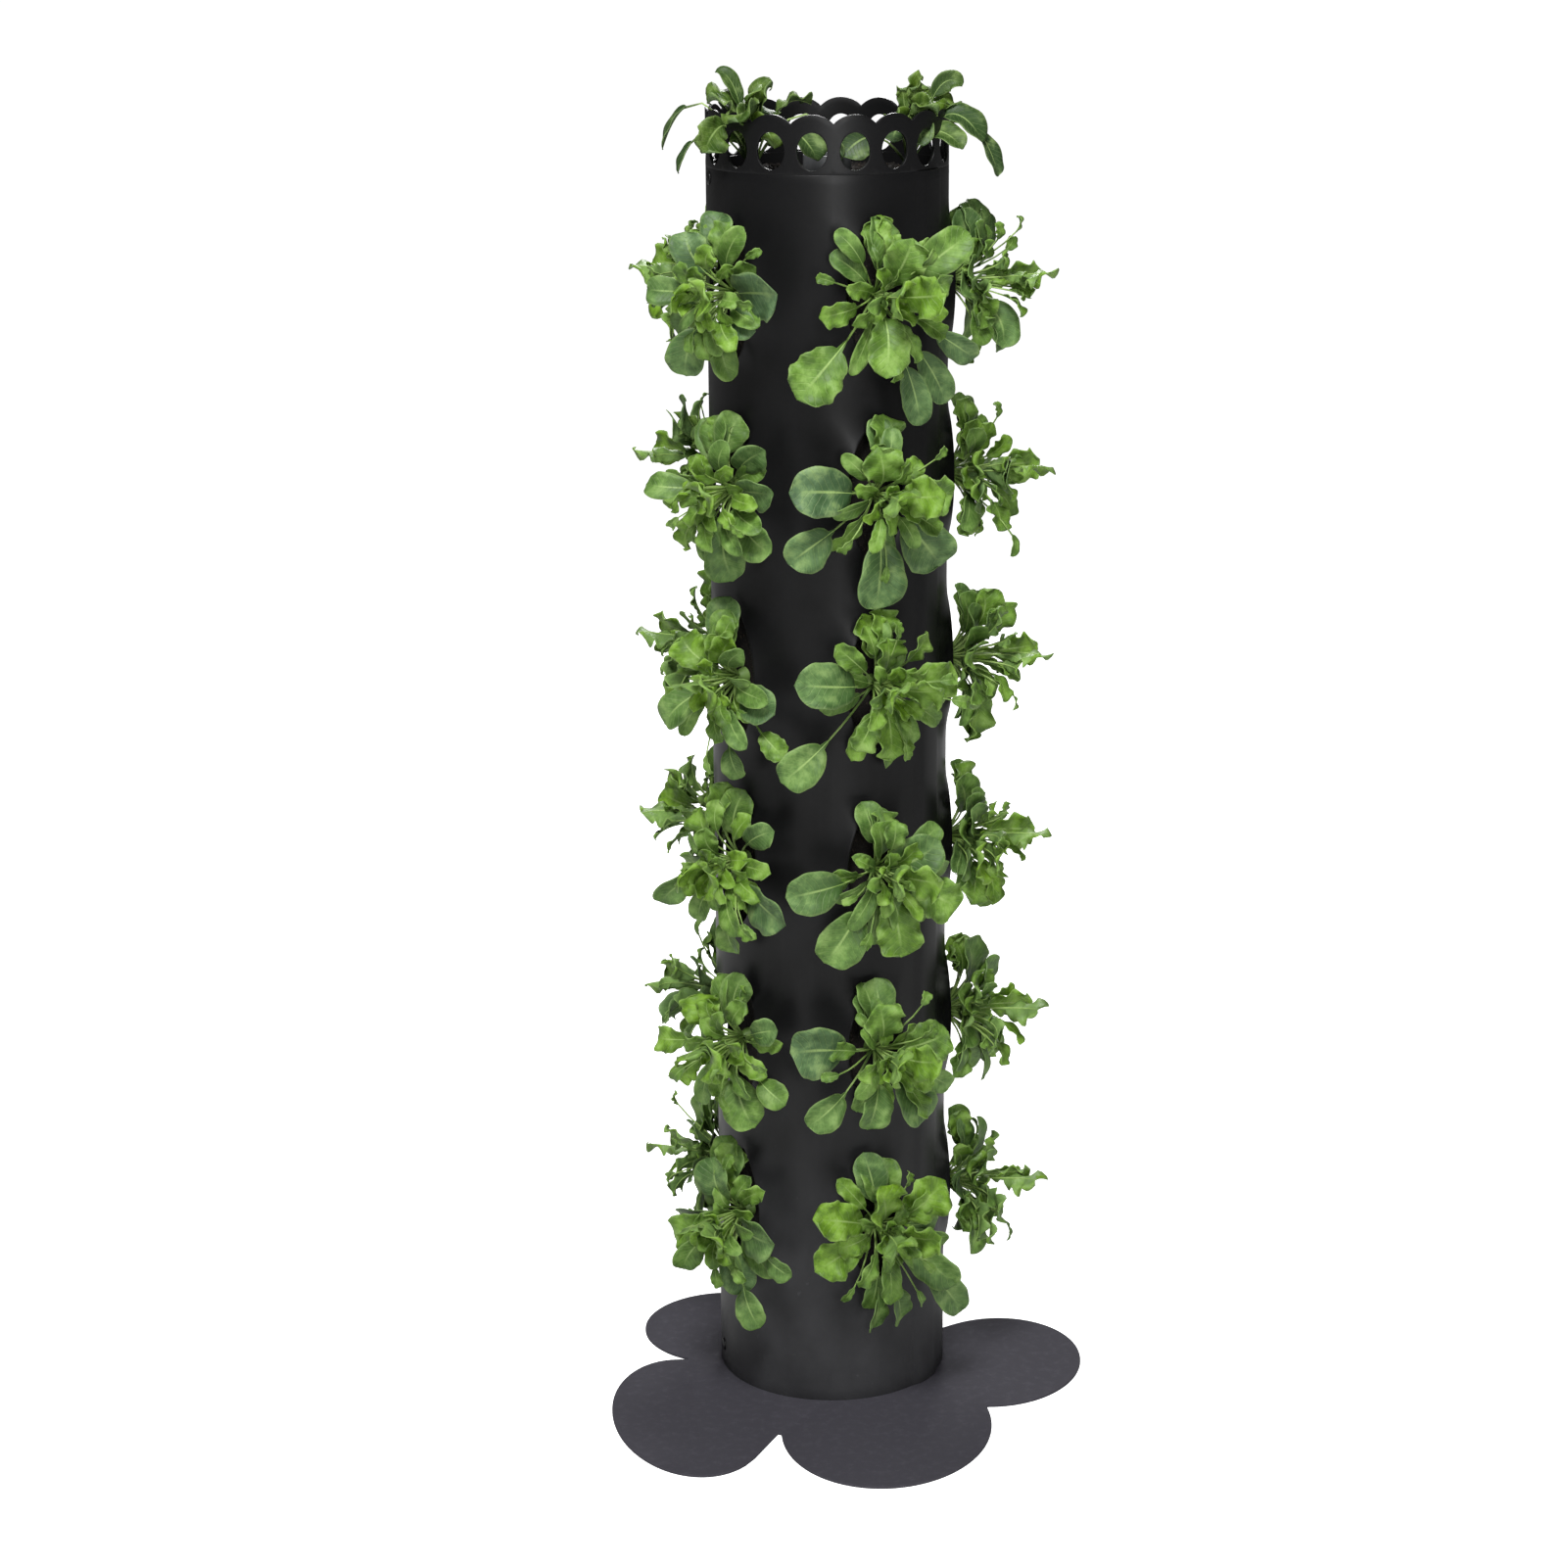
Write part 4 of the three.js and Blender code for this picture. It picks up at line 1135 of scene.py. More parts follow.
def rivet_pattern(stack):
    """A push rivet for a stack of sheets of this thickness, its domed head's seat at 0."""
    dome = []
    for turn in evenly(0, pi / 2, DOME_SEGMENTS)[:-1]:
        rise = RIVET_RIM_SHARE + (1 - RIVET_RIM_SHARE) * sin(turn)
        dome.append((RIVET_HEAD_RADIUS * cos(turn), RIVET_HEAD_THICK * rise))
    profile = [
        (0, -stack - RIVET_FOOT_THICK),
        (RIVET_FOOT_RADIUS, -stack - RIVET_FOOT_THICK),
        (RIVET_FOOT_RADIUS, -stack),
        (RIVET_SHANK_RADIUS, -stack),
        (RIVET_SHANK_RADIUS, 0),
        (RIVET_HEAD_RADIUS, 0),
        *dome,
        (0, RIVET_HEAD_THICK),
    ]
    return turned_piece("rivet", profile, RIVET_SEGMENTS)


def screw_pattern():
    """A flat-headed screw that points up, its head's face at the fit gap, with recess and thread."""
    gap = sizes().fit_gap
    tip = gap + SCREW_LENGTH
    neck = gap + SCREW_HEAD_THICK
    recess = gap + SCREW_HEAD_THICK * RECESS_DEPTH_SHARE
    profile = [(0, recess), (SCREW_HEAD_RADIUS * RECESS_FLOOR_SHARE, recess)]
    profile += [(SCREW_HEAD_RADIUS * RECESS_MOUTH_SHARE, gap)]
    profile += [(SCREW_HEAD_RADIUS, gap), (SCREW_HEAD_RADIUS, neck)]
    turns = int((tip - neck) / SCREW_THREAD) - 1
    for i in range(turns):
        profile.append((SCREW_SHANK_RADIUS * SCREW_CORE_SHARE, neck + SCREW_THREAD * i))
        profile.append((SCREW_SHANK_RADIUS, neck + SCREW_THREAD * (i + 0.5)))
    profile += [(SCREW_SHANK_RADIUS * SCREW_TIP_SHARE, tip), (0, tip)]
    return turned_piece("screw", profile, SCREW_SEGMENTS)


def add_rivets(name, azimuths, heights, seat, stack):
    """Rivets at every azimuth and height, one for each node of that name."""
    pairs = [(azimuth, height) for azimuth in azimuths for height in heights]
    places = [around(azimuth, seat, height) for azimuth, height in pairs]
    outwards = [around(azimuth, 1, 0) for azimuth, _ in pairs]
    black = bpy.data.materials["black_rivet"]
    rivets = copied(f"{name}s", rivet_pattern(stack), places, outwards, black)
    finish_piece(rivets, "rivet", *numbered(name, pairs))


def build_fasteners():
    """The rivets of the lap, the crown and the pan, and the screws under the plate."""
    s = sizes()
    gap = s.fit_gap
    lap = 2 * s.sheet_thick + 2 * gap
    rows = [row_height(row) for row in range(s.rows)]
    add_rivets("seam_rivet", [SEAM_AZIMUTH], rows, s.tube_radius + s.sheet_thick + gap, lap + gap)
    wall = 2 * s.sheet_thick + 5 * gap
    heights = {"crown": s.wall_top - CROWN_RIVET_DROP, "pan": s.plate_thick + PAN_RIVET_RISE}
    for place, height in heights.items():
        add_rivets(f"{place}_rivet", RIVET_AZIMUTHS, [height], s.tube_radius, wall)
    places = screw_places()
    upright = [UP] * len(places)
    screws = copied("base_screws", screw_pattern(), places, upright, steel_material())
    finish_piece(screws, "screw", *numbered("base_screw", places))


# Inner pieces


PIPE_SIDES = 4
PIPE_SEGMENTS = 12
PIPE_FADES = (0, 0.1, 0.25, 0.45, 0.7, 1)
WELD_REACH = 0.000001


def add_watering_hole(sheet, west, east, centre):
    """One round hole in the pipe, and the pipe's wall round it out to the edges of its cell."""
    s = sizes()
    half_pitch = s.row_pitch / 2
    middle = (west + east) / 2
    half_width = degrees(s.pipe_hole_radius / s.pipe_radius)
    heights = (centre - half_pitch, centre + half_pitch)
    border = box_border(west, east, *heights, PIPE_SEGMENTS, PIPE_SEGMENTS)
    hole = []
    for azimuth, height in border:
        turn = atan2((height - centre) / half_pitch, (azimuth - middle) / (east - middle))
        hole.append((middle + half_width * cos(turn), centre + s.pipe_hole_radius * sin(turn)))
    sheet.rings(border, hole, PIPE_FADES)


def build_pipe():
    """The watering pipe, with a pair of holes behind each row of slits, turned from row to row."""
    s = sizes()
    low, high = slit_band()
    half_side = 180 / PIPE_SIDES
    sheet = Sheet()
    for side in range(PIPE_SIDES):
        middle = 2 * half_side * side
        across = evenly(middle - half_side, middle + half_side, PIPE_SEGMENTS)
        sheet.strip(across, [s.pan_top, low])
        sheet.strip(across, [high, s.pipe_top])
        for row in range(s.rows):
            if row % 2 == side % 2:
                add_watering_hole(sheet, across[0], across[-1], row_height(row))
            else:
                start = low + s.row_pitch * row
                sheet.strip(across, evenly(start, start + s.row_pitch, PIPE_SEGMENTS))
    pipe = sheet.to_object("watering_pipe_tube", s.pipe_radius)
    add_modifier(pipe, "WELD", merge_threshold=WELD_REACH)
    thicken(pipe, s.pipe_wall)
    shade(pipe, SHEET_SHARP)
    look = {"rough": 0.38, "dust_reach": 0.05, "dust_amount": 0.2, "grain": 1800.0, "bump": 0.06}
    paint(pipe, plastic("grey_pipe", colours().pipe, **look))
    finish_piece(pipe, "pipe", "watering_pipe")


def finish_pan():
    """Puts the pan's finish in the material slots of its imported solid."""
    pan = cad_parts["drain_pan"]
    look = {"rough": 0.6, "dust_reach": 0.06, "dust_amount": 0.7, "grain": 700.0, "bump": 0.3}
    moulded = plastic("moulded_pan", colours().wall, **look)
    for slot in pan.material_slots:
        slot.material = moulded


SOIL_SEGMENTS = 160
SOIL_STEP = 0.011
SOIL_TOP_RINGS = 22
SOIL_ROUGH = 0.0035
LUMP_SCALE = 38
GRIT_SCALE = 120


def crumble(place):
    """A soil lump height between 0 and 1."""
    coarse = noise.noise(place * LUMP_SCALE)
    fine = noise.noise(place * GRIT_SCALE)
    return min(1.0, max(0.0, 0.5 + 0.45 * coarse + 0.25 * fine))


def build_soil():
    """The soil column: rough on top and behind the slits, with loose crumbs where it shows."""
    s = sizes()
    gap = s.fit_gap
    bore = s.pipe_radius + gap * 2
    seat = s.socket_radius + gap * 2
    socket_top = s.pan_top + s.socket_height + gap
    up = ceil((s.medium_top - s.pan_top) / SOIL_STEP)
    profile = [(s.medium_radius, h) for h in evenly(s.pan_top, s.medium_top, up)]
    profile += [(r, s.medium_top) for r in evenly(s.medium_radius, bore, SOIL_TOP_RINGS)[1:]]
    profile += [(bore, socket_top), (seat, socket_top), (seat, s.pan_top)]
    soil = turned_piece("soil_column", profile, SOIL_SEGMENTS)
    shows = []
    for vertex in soil.data.vertices:
        place = vertex.co.copy()
        radius = place.xy.length
        on_top = place.z > s.medium_top - gap
        outside = radius > s.medium_radius - gap
        if on_top:
            vertex.co.z += (crumble(place) - 0.9) * SOIL_ROUGH * 2
        if outside:
            inward = 1 - crumble(place) * SOIL_ROUGH / radius
            vertex.co.x *= inward
            vertex.co.y *= inward
        shows.append(1.0 if on_top and radius > bore + gap else 0.0)
    put_attribute(soil, "crumb_density", shows)
    crumbs = {"crumb": greens().crumb, "density": CRUMB_DENSITY, "seed": greens().seed}
    run_tree(soil, "soil_crumbs", material=soil_material(), **crumbs)
    finish_piece(soil, "medium", "growing_medium")


# Greens


# How the two kinds of leaves are shaped, as shares of the half width: how full the blade is,
# how much wider it gets towards its tip, how far its edges sweep back at the base and the tip,
# how far they ruffle and how deep their teeth are. Waves counts the ruffles along an edge.
SPOON = {
    "full": 0.85,
    "swell": 0.1,
    "base_sweep": 0.35,
    "tip_sweep": 0.1,
    "ruffle": 0.04,
    "teeth": 0.02,
    "waves": 1.8,
}
CRISP = {
    "full": 0.8,
    "swell": 0.5,
    "base_sweep": 0.0,
    "tip_sweep": 0.22,
    "ruffle": 0.13,
    "teeth": 0.06,
    "waves": 2.3,
}
BLADE_NECK = 0.12
BLADE_TIP = 0.06
STALK_STATIONS = 5
BLADE_STATIONS = 22
MIDRIB_POINTS = 65
BLADE_SHARE = 0.64
HEADING_LEAN = 0.45
ROOT_SPREAD_SHARE = 0.02
ROOT_DEPTH_SHARE = 0.7
# How thick a stalk is where its blade starts and at the blade's tip, against its foot
BLADE_RIB_SHARE = 0.62
TIP_RIB_SHARE = 0.16

# How a plant carries its leaves in its own frame, whose -Y leads away from the root: how high
# the stalks arch, which way is down, how much a leaf that reaches far out sags, and how far
# a blade rolls to either side.
SLIT_HABIT = {"arch": 0.3, "down": (0, 0, -1), "sag": 0, "sag_from": 0, "sag_arch": 0, "roll": 0.5}
RIM_HABIT = {
    "arch": 0.42, "down": (0, 1, 0), "sag": 2.5, "sag_from": 0.5, "sag_arch": 0.55, "roll": 0.9
}
# How each column's plants differ: how far they lean sideways towards the viewer for each reach
# outwards, how far their blades turn that way, how large their large blades are against
# the sizes written below, and how many low leaves hide their stalks.
COLUMN_HABITS = (
    {"lean": 0.05, "turn": 0.1, "blades": 0.92, "low_leaves": 0},
    {"lean": -0.25, "turn": -0.9, "blades": 0.74, "low_leaves": 7},
    {"lean": 0, "turn": 0, "blades": 0.8, "low_leaves": 0},
    {"lean": 0.1, "turn": 0.8, "blades": 0.74, "low_leaves": 3},
    {"lean": 0.42, "turn": 0.7, "blades": 0.74, "low_leaves": 0},
)
GOLDEN_ANGLE = 137.508
CRISP_TONE = 0.55

# A leaf is written as side, rise, out, width, length and tone: where its blade's middle lies,
# seen from the root, and the blade's size, all in leaf reaches, and how bright it is,
# where 0 is bluish and 1 yellow-green. One list is one plant, from the lowest row up.
FRONT_RIGHT_LEAF_SHARES = (
    (
        (-0.62, 0.35, 0.5, 0.49, 0.81, 0.85),
        (-0.12, 0.42, 0.55, 0.52, 0.67, 0.9),
        (0.42, 0.38, 0.42, 0.55, 0.69, 0.85),
        (-0.62, -0.12, 0.42, 0.47, 0.56, 0.8),
        (-0.12, -0.72, 0.26, 0.34, 0.4, 0.5),
        (0.52, -0.42, 0.42, 0.44, 0.74, 0.35),
        (-0.11, -0.95, 0.3, 0.38, 0.36, 0.38),
        (0.16, -0.9, 0.3, 0.36, 0.38, 0.4),
        (0.74, -0.8, 0.3, 0.38, 0.6, 0.3),
    ),
    (
        (-0.82, 0.22, 0.3, 0.65, 0.56, 0.1),
        (-0.1, 0.48, 0.45, 0.52, 0.56, 0.6),
        (0.42, 0.2, 0.5, 0.55, 0.56, 0.6),
        (-0.72, -0.52, 0.34, 0.42, 0.45, 0.35),
        (-0.18, -0.55, 0.4, 0.47, 0.47, 0.3),
        (0.3, -0.52, 0.42, 0.49, 0.49, 0.3),
    ),
    (
        (-0.85, -0.05, 0.34, 0.49, 0.6, 0.2),
        (-0.1, 0.5, 0.38, 0.47, 0.47, 0.5),
        (0.3, 0.24, 0.5, 0.5, 0.67, 0.25),
        (-0.5, -0.66, 0.26, 0.6, 0.56, 0.35),
        (0.1, -0.55, 0.4, 0.5, 0.56, 0.7),
        (0.5, -0.2, 0.52, 0.49, 0.56, 0.6),
    ),
    (
        (-0.74, 0.14, 0.4, 0.57, 0.69, 0.15),
        (-0.02, 0.44, 0.4, 0.44, 0.47, 0.75),
        (0.46, 0.1, 0.44, 0.49, 0.67, 0.7),
        (-0.92, -0.74, 0.22, 0.52, 0.52, 0.3),
        (0.02, -0.42, 0.36, 0.47, 0.56, 0.75),
        (-0.28, -0.42, 0.42, 0.34, 0.4, 0.6),
    ),
    (
        (-0.78, 0.16, 0.4, 0.62, 0.69, 0.05),
        (-0.1, 0.38, 0.44, 0.44, 0.47, 0.6),
        (0.44, 0.06, 0.5, 0.47, 0.52, 0.6),
        (-0.84, -0.46, 0.24, 0.48, 0.45, 0.1),
        (-0.06, -0.84, 0.26, 0.6, 0.66, 0.1),
        (0.46, -0.54, 0.3, 0.57, 0.56, 0.15),
    ),
    (
        (-0.4, 0.6, 0.3, 0.24, 0.52, 0.5),
        (0.1, 0.46, 0.55, 0.46, 0.67, 0.62),
        (0.56, 0.5, 0.5, 0.46, 0.78, 0.6),
        (-0.72, -0.68, 0.3, 0.62, 0.66, 0.56),
        (-0.06, -0.42, 0.5, 0.44, 0.56, 0.6),
        (0.32, -0.98, 0.3, 0.34, 0.56, 0.1),
        (0.54, -0.8, 0.3, 0.36, 0.56, 0.15),
        (0.8, -0.52, 0.3, 0.34, 0.52, 0.1),
    ),
)
FRONT_LEFT_LEAF_SHARES = (
    (
        (0.66, -0.02, 0.34, 0.7, 0.66, 0.2),
        (-0.06, 0.46, 0.34, 0.57, 0.63, 0.3),
        (-0.34, -0.16, 0.56, 0.52, 0.56, 0.7),
        (0.28, -0.56, 0.3, 0.6, 0.6, 0.2),
        (0.86, -0.34, 0.22, 0.36, 0.38, 0.3),
        (-0.22, -0.44, 0.62, 0.42, 0.49, 0.4),
        (0.47, -0.94, 0.3, 0.46, 0.48, 0.3),
    ),
    (
        (0.66, 0.3, 0.22, 0.44, 0.4, 0.3),
        (-0.16, 0.42, 0.4, 0.57, 0.63, 0.85),
        (-0.42, 0.04, 0.7, 0.39, 0.47, 0.8),
        (0.34, -0.62, 0.26, 0.66, 0.63, 0.5),
        (0.78, -0.36, 0.22, 0.42, 0.4, 0.5),
        (-0.3, -0.34, 0.56, 0.42, 0.49, 0.8),
    ),
    (
        (0.78, -0.3, 0.26, 0.74, 0.67, 0.15),
        (0.62, 0.46, 0.22, 0.44, 0.52, 0.3),
        (-0.16, 0.42, 0.36, 0.52, 0.56, 0.75),
        (-0.36, -0.28, 0.66, 0.44, 0.56, 0.3),
        (0.14, -0.8, 0.26, 0.47, 0.45, 0.5),
        (0.06, 0.06, 0.7, 0.57, 0.56, 0.85),
    ),
    (
        (0.72, -0.1, 0.3, 0.55, 0.52, 0.2),
        (-0.26, 0.34, 0.42, 0.55, 0.67, 0.8),
        (-0.34, -0.3, 0.56, 0.52, 0.67, 0.3),
        (0.82, -0.52, 0.22, 0.36, 0.45, 0.6),
        (0.24, -0.86, 0.26, 0.36, 0.38, 0.4),
        (0.3, 0.4, 0.42, 0.44, 0.56, 0.85),
    ),
    (
        (0.72, 0.1, 0.3, 0.52, 0.56, 0.25),
        (0.56, 0.42, 0.24, 0.47, 0.52, 0.3),
        (-0.4, 0.04, 0.66, 0.42, 0.63, 0.35),
        (0.66, -0.44, 0.26, 0.52, 0.49, 0.45),
        (0.16, -0.7, 0.26, 0.62, 0.58, 0.3),
        (-0.3, -0.44, 0.4, 0.42, 0.47, 0.8),
    ),
    (
        (0.82, 0.12, 0.34, 0.81, 0.69, 0.05),
        (-0.2, 0.48, 0.4, 0.55, 0.6, 0.1),
        (-0.36, 0.06, 0.68, 0.39, 0.52, 0.3),
        (0.56, -0.22, 0.34, 0.44, 0.45, 0.1),
        (0.16, -0.6, 0.26, 0.39, 0.56, 0.45),
        (-0.26, -0.62, 0.4, 0.6, 0.58, 0.25),
    ),
)
HEART_LEAF_SHARES = (
    (0.2, 0.1, 0.84, 0.42, 0.5, 0.8),
    (-0.16, 0.12, 0.9, 0.4, 0.47, 0.85),
)
RIM_LEFT_LEAF_SHARES = (
    (0.12, 0.22, 0.84, 0.2, 0.42, 0.3),
    (0.05, 0.31, 0.62, 0.44, 0.42, 0.6),
    (-0.1, -0.1, 0.72, 0.4, 0.38, 0.6),
    (-0.11, -0.43, 0.58, 0.36, 0.4, 0.65),
    (-0.23, 0.52, 0.3, 0.38, 0.4, 0.6),
    (0.34, 0.64, 0.4, 0.24, 0.42, 0.1),
    (0.11, 0.64, 0.12, 0.18, 0.3, 0.1),
    (-0.38, 0.02, 0.3, 0.34, 0.36, 0.7),
    (-0.5, -0.3, 0.2, 0.38, 0.4, 0.2),
    (-0.3, -0.66, 0.24, 0.4, 0.4, 0.2),
    (0.39, -0.32, 0.5, 0.36, 0.4, 0.3),
    (-0.4, 0.3, 0.5, 0.4, 0.4, 0.6),
    (0.2, 0.1, 0.5, 0.42, 0.4, 0.3),
    (-0.2, 0.15, 0.62, 0.4, 0.4, 0.65),
)
RIM_RIGHT_LEAF_SHARES = (
    (-0.03, 0.1, 0.8, 0.24, 0.3, 0.85),
    (-0.13, 0.4, 0.8, 0.22, 0.34, 0.4),
    (0.13, 0.25, 0.52, 0.38, 0.36, 0.8),
    (-0.2, 0.3, 0.52, 0.36, 0.36, 0.6),
    (-0.03, 0.57, 0.38, 0.36, 0.42, 0.1),
    (-0.17, 0.74, 0.1, 0.28, 0.42, 0.05),
    (0.42, 0.01, 0.3, 0.36, 0.34, 0.1),
    (0.3, -0.42, 0.16, 0.36, 0.36, 0.1),
    (-0.47, 0.16, 0.6, 0.3, 0.36, 0.6),
    (0.3, 0.2, 0.3, 0.32, 0.34, 0.2),
)
SPREAD_COUNT = 4
SPRIGS = 4
TOP_LEAVES = 3


def around_root(reach, turn):
    """The side and the rise of a leaf at a reach and a turn round its root."""
    return reach * sin(turn), reach * cos(turn)


def spread_leaves(column, row):
    """Leaves on opposite sides of the root by turns, for the columns at the back."""
    start = column * 61 + row * 97
    tone = 0.3 + 0.6 * ((column * 3 + row * 5) % 7) / 6
    leaves = []
    for i in range(SPREAD_COUNT):
        turn = radians(start + GOLDEN_ANGLE * i * SPREAD_COUNT / (SPREAD_COUNT - 1))
        wave = sin(start + i * 2.4)
        reach = 0.56 + 0.1 * wave
        place = (*around_root(reach, turn), 0.42 - 0.16 * wave)
        leaves.append((*place, 0.54 + 0.06 * wave, 0.6 + 0.08 * wave, tone))
    return leaves


def filler_leaves(draw, count):
    """Smaller leaves between the large ones, longer and lower from the heart outwards."""
    start = draw.uniform(0, 360)
    leaves = []
    for i in range(count):
        part = (i + 0.5) / count
        turn = radians(start + GOLDEN_ANGLE * i)
        reach = 0.1 + 0.5 * part + draw.uniform(-0.07, 0.07)
        out = draw.uniform(0.12 + 0.2 * (1 - part), 0.86 - 0.42 * part)
        width = 0.12 + 0.13 * part + draw.uniform(-0.03, 0.05)
        length = 0.27 + 0.15 * part + draw.uniform(-0.05, 0.1)
        tone = draw.uniform(0.62, 1.0) - 0.3 * part
        leaves.append((*around_root(reach, turn), out, width, length, tone))
    return leaves


def sprig_leaves(draw, count):
    """Tiny leaves on long thin stalks that stand free of the rest."""
    leaves = []
    for _ in range(count):
        turn = draw.uniform(0, 2 * pi)
        reach = draw.uniform(0.45, 0.8)
        out = draw.uniform(0.3, 0.75)
        leaves.append((*around_root(reach, turn), out, draw.uniform(0.09, 0.15), 0.2, 0.6))
    return leaves


def top_leaves(draw, count):
    """Leaves that stand up close to the wall, in front of the slit's upper tip."""
    leaves = []
    for _ in range(count):
        place = (draw.uniform(-0.16, 0.08), draw.uniform(0.52, 0.68), draw.uniform(0.1, 0.2))
        blade = (draw.uniform(0.3, 0.4), draw.uniform(0.4, 0.5))
        leaves.append((*place, *blade, draw.uniform(0.2, 0.8)))
    return leaves


def low_leaves(draw, count, lean):
    """Leaves close to the wall one above another, on the side to which the plant leans."""
    leaves = []
    for i in range(count):
        side = np.sign(lean) * draw.uniform(0.12, 0.4)
        rise = 0.5 - (i + draw.uniform(0.3, 0.7)) / count
        width = draw.uniform(0.28, 0.4)
        out = draw.uniform(0.1, 0.3)
        leaves.append((side, rise, out, width, width * 1.25, draw.uniform(0.2, 0.8)))
    return leaves


def unit(vectors):
    """The vectors at a length of 1."""
    return vectors / np.linalg.norm(vectors, axis=-1, keepdims=True)


def blade_stations(form):
    """Places along a blade, close together at its round ends, and its half width there."""
    turn = np.linspace(BLADE_NECK, pi - BLADE_TIP, BLADE_STATIONS)
    along = (cos(BLADE_NECK) - np.cos(turn)) / (cos(BLADE_NECK) + cos(BLADE_TIP))
    return along, np.sin(turn) ** form["full"] * (1 + form["swell"] * (along - 0.6))


def leaf_stations(leaf, habit, light, draw):
    """One leaf's midrib, from root to tip, with what each station of it carries."""
    side, rise, out, width, length, tone = leaf
    tone = min(1.0, max(0.0, tone + draw.uniform(-0.06, 0.06)))
    form = CRISP if tone > CRISP_TONE else SPOON
    middle = np.array((side, -out, rise))
    depth = greens().collar_height * ROOT_DEPTH_SHARE / greens().leaf_reach
    spread = ROOT_SPREAD_SHARE / hypot(side, rise)
    root = np.array((side * spread, -depth, rise * spread))
    sag = habit["sag"] * max(0.0, hypot(side, rise) - habit["sag_from"])
    heading = unit(np.array((side, sag - out * HEADING_LEAN, rise)))
    tip = middle + heading * length / 2
    bend = middle - heading * length / 2 - np.array((0, habit["arch"] + sag * habit["sag_arch"], 0))
    fine = np.linspace(0, 1, MIDRIB_POINTS)[:, None]
    line = (1 - fine) ** 2 * root + 2 * fine * (1 - fine) * bend + fine**2 * tip
    walked = np.concatenate(([0], np.cumsum(np.linalg.norm(np.diff(line, axis=0), axis=1))))
    blade_start = 1 - min(BLADE_SHARE, length / walked[-1])
    blade_along, blade_half = blade_stations(form)
    along = np.concatenate((np.linspace(-1, 0, STALK_STATIONS, endpoint=False), blade_along))
    at = np.where(along < 0, (along + 1) * blade_start, blade_start + (1 - blade_start) * along)
    middles = np.stack([np.interp(at * walked[-1], walked, line[:, k]) for k in range(3)], axis=1)
    blade = np.clip(along, 0, 1)
    middles += np.array(habit["down"]) * (blade**2 * length * draw.uniform(0.0, 0.22))[:, None]
    tangents = unit(np.gradient(middles, axis=0))
    across = unit(np.cross(light, heading))
    roll = draw.uniform(-habit["roll"], habit["roll"])
    facing = unit(np.cross(tangents, across))
    facing = facing * cos(roll) + np.cross(tangents, facing) * sin(roll)

    half = width / 2 * draw.uniform(0.92, 1.08)
    phase = draw.uniform(0, 2 * pi) + 2 * pi * form["waves"] * blade
    teeth = 1 + form["teeth"] * np.sin(phase * 1.7 + 1)
    reach = greens().leaf_reach
    stalk = greens().stalk_radius * (0.7 + 0.5 * width)
    on_blade = along >= 0
    half_width = half * reach * teeth
    half_width[:STALK_STATIONS] = stalk * 0.5
    half_width[STALK_STATIONS:] *= blade_half
    back = form["base_sweep"] * np.clip(1 - blade / 0.4, 0, 1) ** 2
    back += form["tip_sweep"] * np.clip((blade - 0.5) / 0.5, 0, 1) ** 2
    return {
        "place": middles * reach,
        "facing": facing,
        "sweep": tangents * -(back * half * reach * on_blade)[:, None],
        "half_width": half_width,
        "along": along,
        "phase": phase,
        "ruffle": form["ruffle"] * half * reach * 2 * on_blade * np.clip(blade * 3, 0, 1),
        "rib": stalk * np.interp(at, (0, blade_start, 1), (1, BLADE_RIB_SHARE, TIP_RIB_SHARE)),
        "tone": np.full(len(along), tone),
    }


COLLAR_SEGMENTS = 14
COLLAR_SHARP = 80


def root_collar():
    """The short thick stem that a plant's stalks leave, with its axis along -Y."""
    radius = greens().collar_radius
    height = greens().collar_height
    profile = [(0, 0), (radius * 1.5, 0), (radius * 1.2, height * 0.5)]
    profile += [(radius * 0.7, height), (0, height * 1.1)]
    collar = turned_piece("collar", profile, COLLAR_SEGMENTS, COLLAR_SHARP)
    collar.data.transform(Matrix.Rotation(pi / 2, 4, "X"))
    count = len(collar.data.vertices)
    # Its along of -1 gives the collar the leaves' painted shade
    for name, value in (("stalk", 1.0), ("tone", 0.4), ("along", -1.0)):
        put_attribute(collar, name, [value] * count)
    return collar


def stood_at(azimuth, radius, height):
    """The frame of a plant that faces away from the tower's axis."""
    root = around(azimuth, radius, height)
    return Matrix.Translation(root) @ Matrix.Rotation(radians(azimuth), 4, "Z")


def grow_plant(name, leaves, habit, light, place, slot, seed, finish="leaves"):
    """Grows one plant in its own frame, its blades turned to the light, then sets it on the tower."""
    draw = np.random.default_rng(greens().seed + seed)
    stations = [leaf_stations(leaf, habit, light, draw) for leaf in leaves]
    data = {key: np.concatenate([s[key] for s in stations]) for key in stations[0]}
    per_leaf = STALK_STATIONS + BLADE_STATIONS
    starts = [leaf * per_leaf for leaf in range(len(leaves))]
    edges = [(start + i, start + i + 1) for start in starts for i in range(per_leaf - 1)]
    plant = add_mesh(name, data.pop("place"), (), edges)
    for key in ("facing", "sweep"):
        put_attribute(plant, key, data.pop(key), "FLOAT_VECTOR")
    for key, values in data.items():
        put_attribute(plant, key, values)
    material = bpy.data.materials[finish]
    run_tree(plant, "leaves_on_midribs", thickness=greens().leaf_thick, material=material)
    join(plant, root_collar())
    shade(plant)
    paint(plant, material)
    plant.data.transform(place)
    finish_piece(plant, slot, name.replace("leaves_of_", ""))


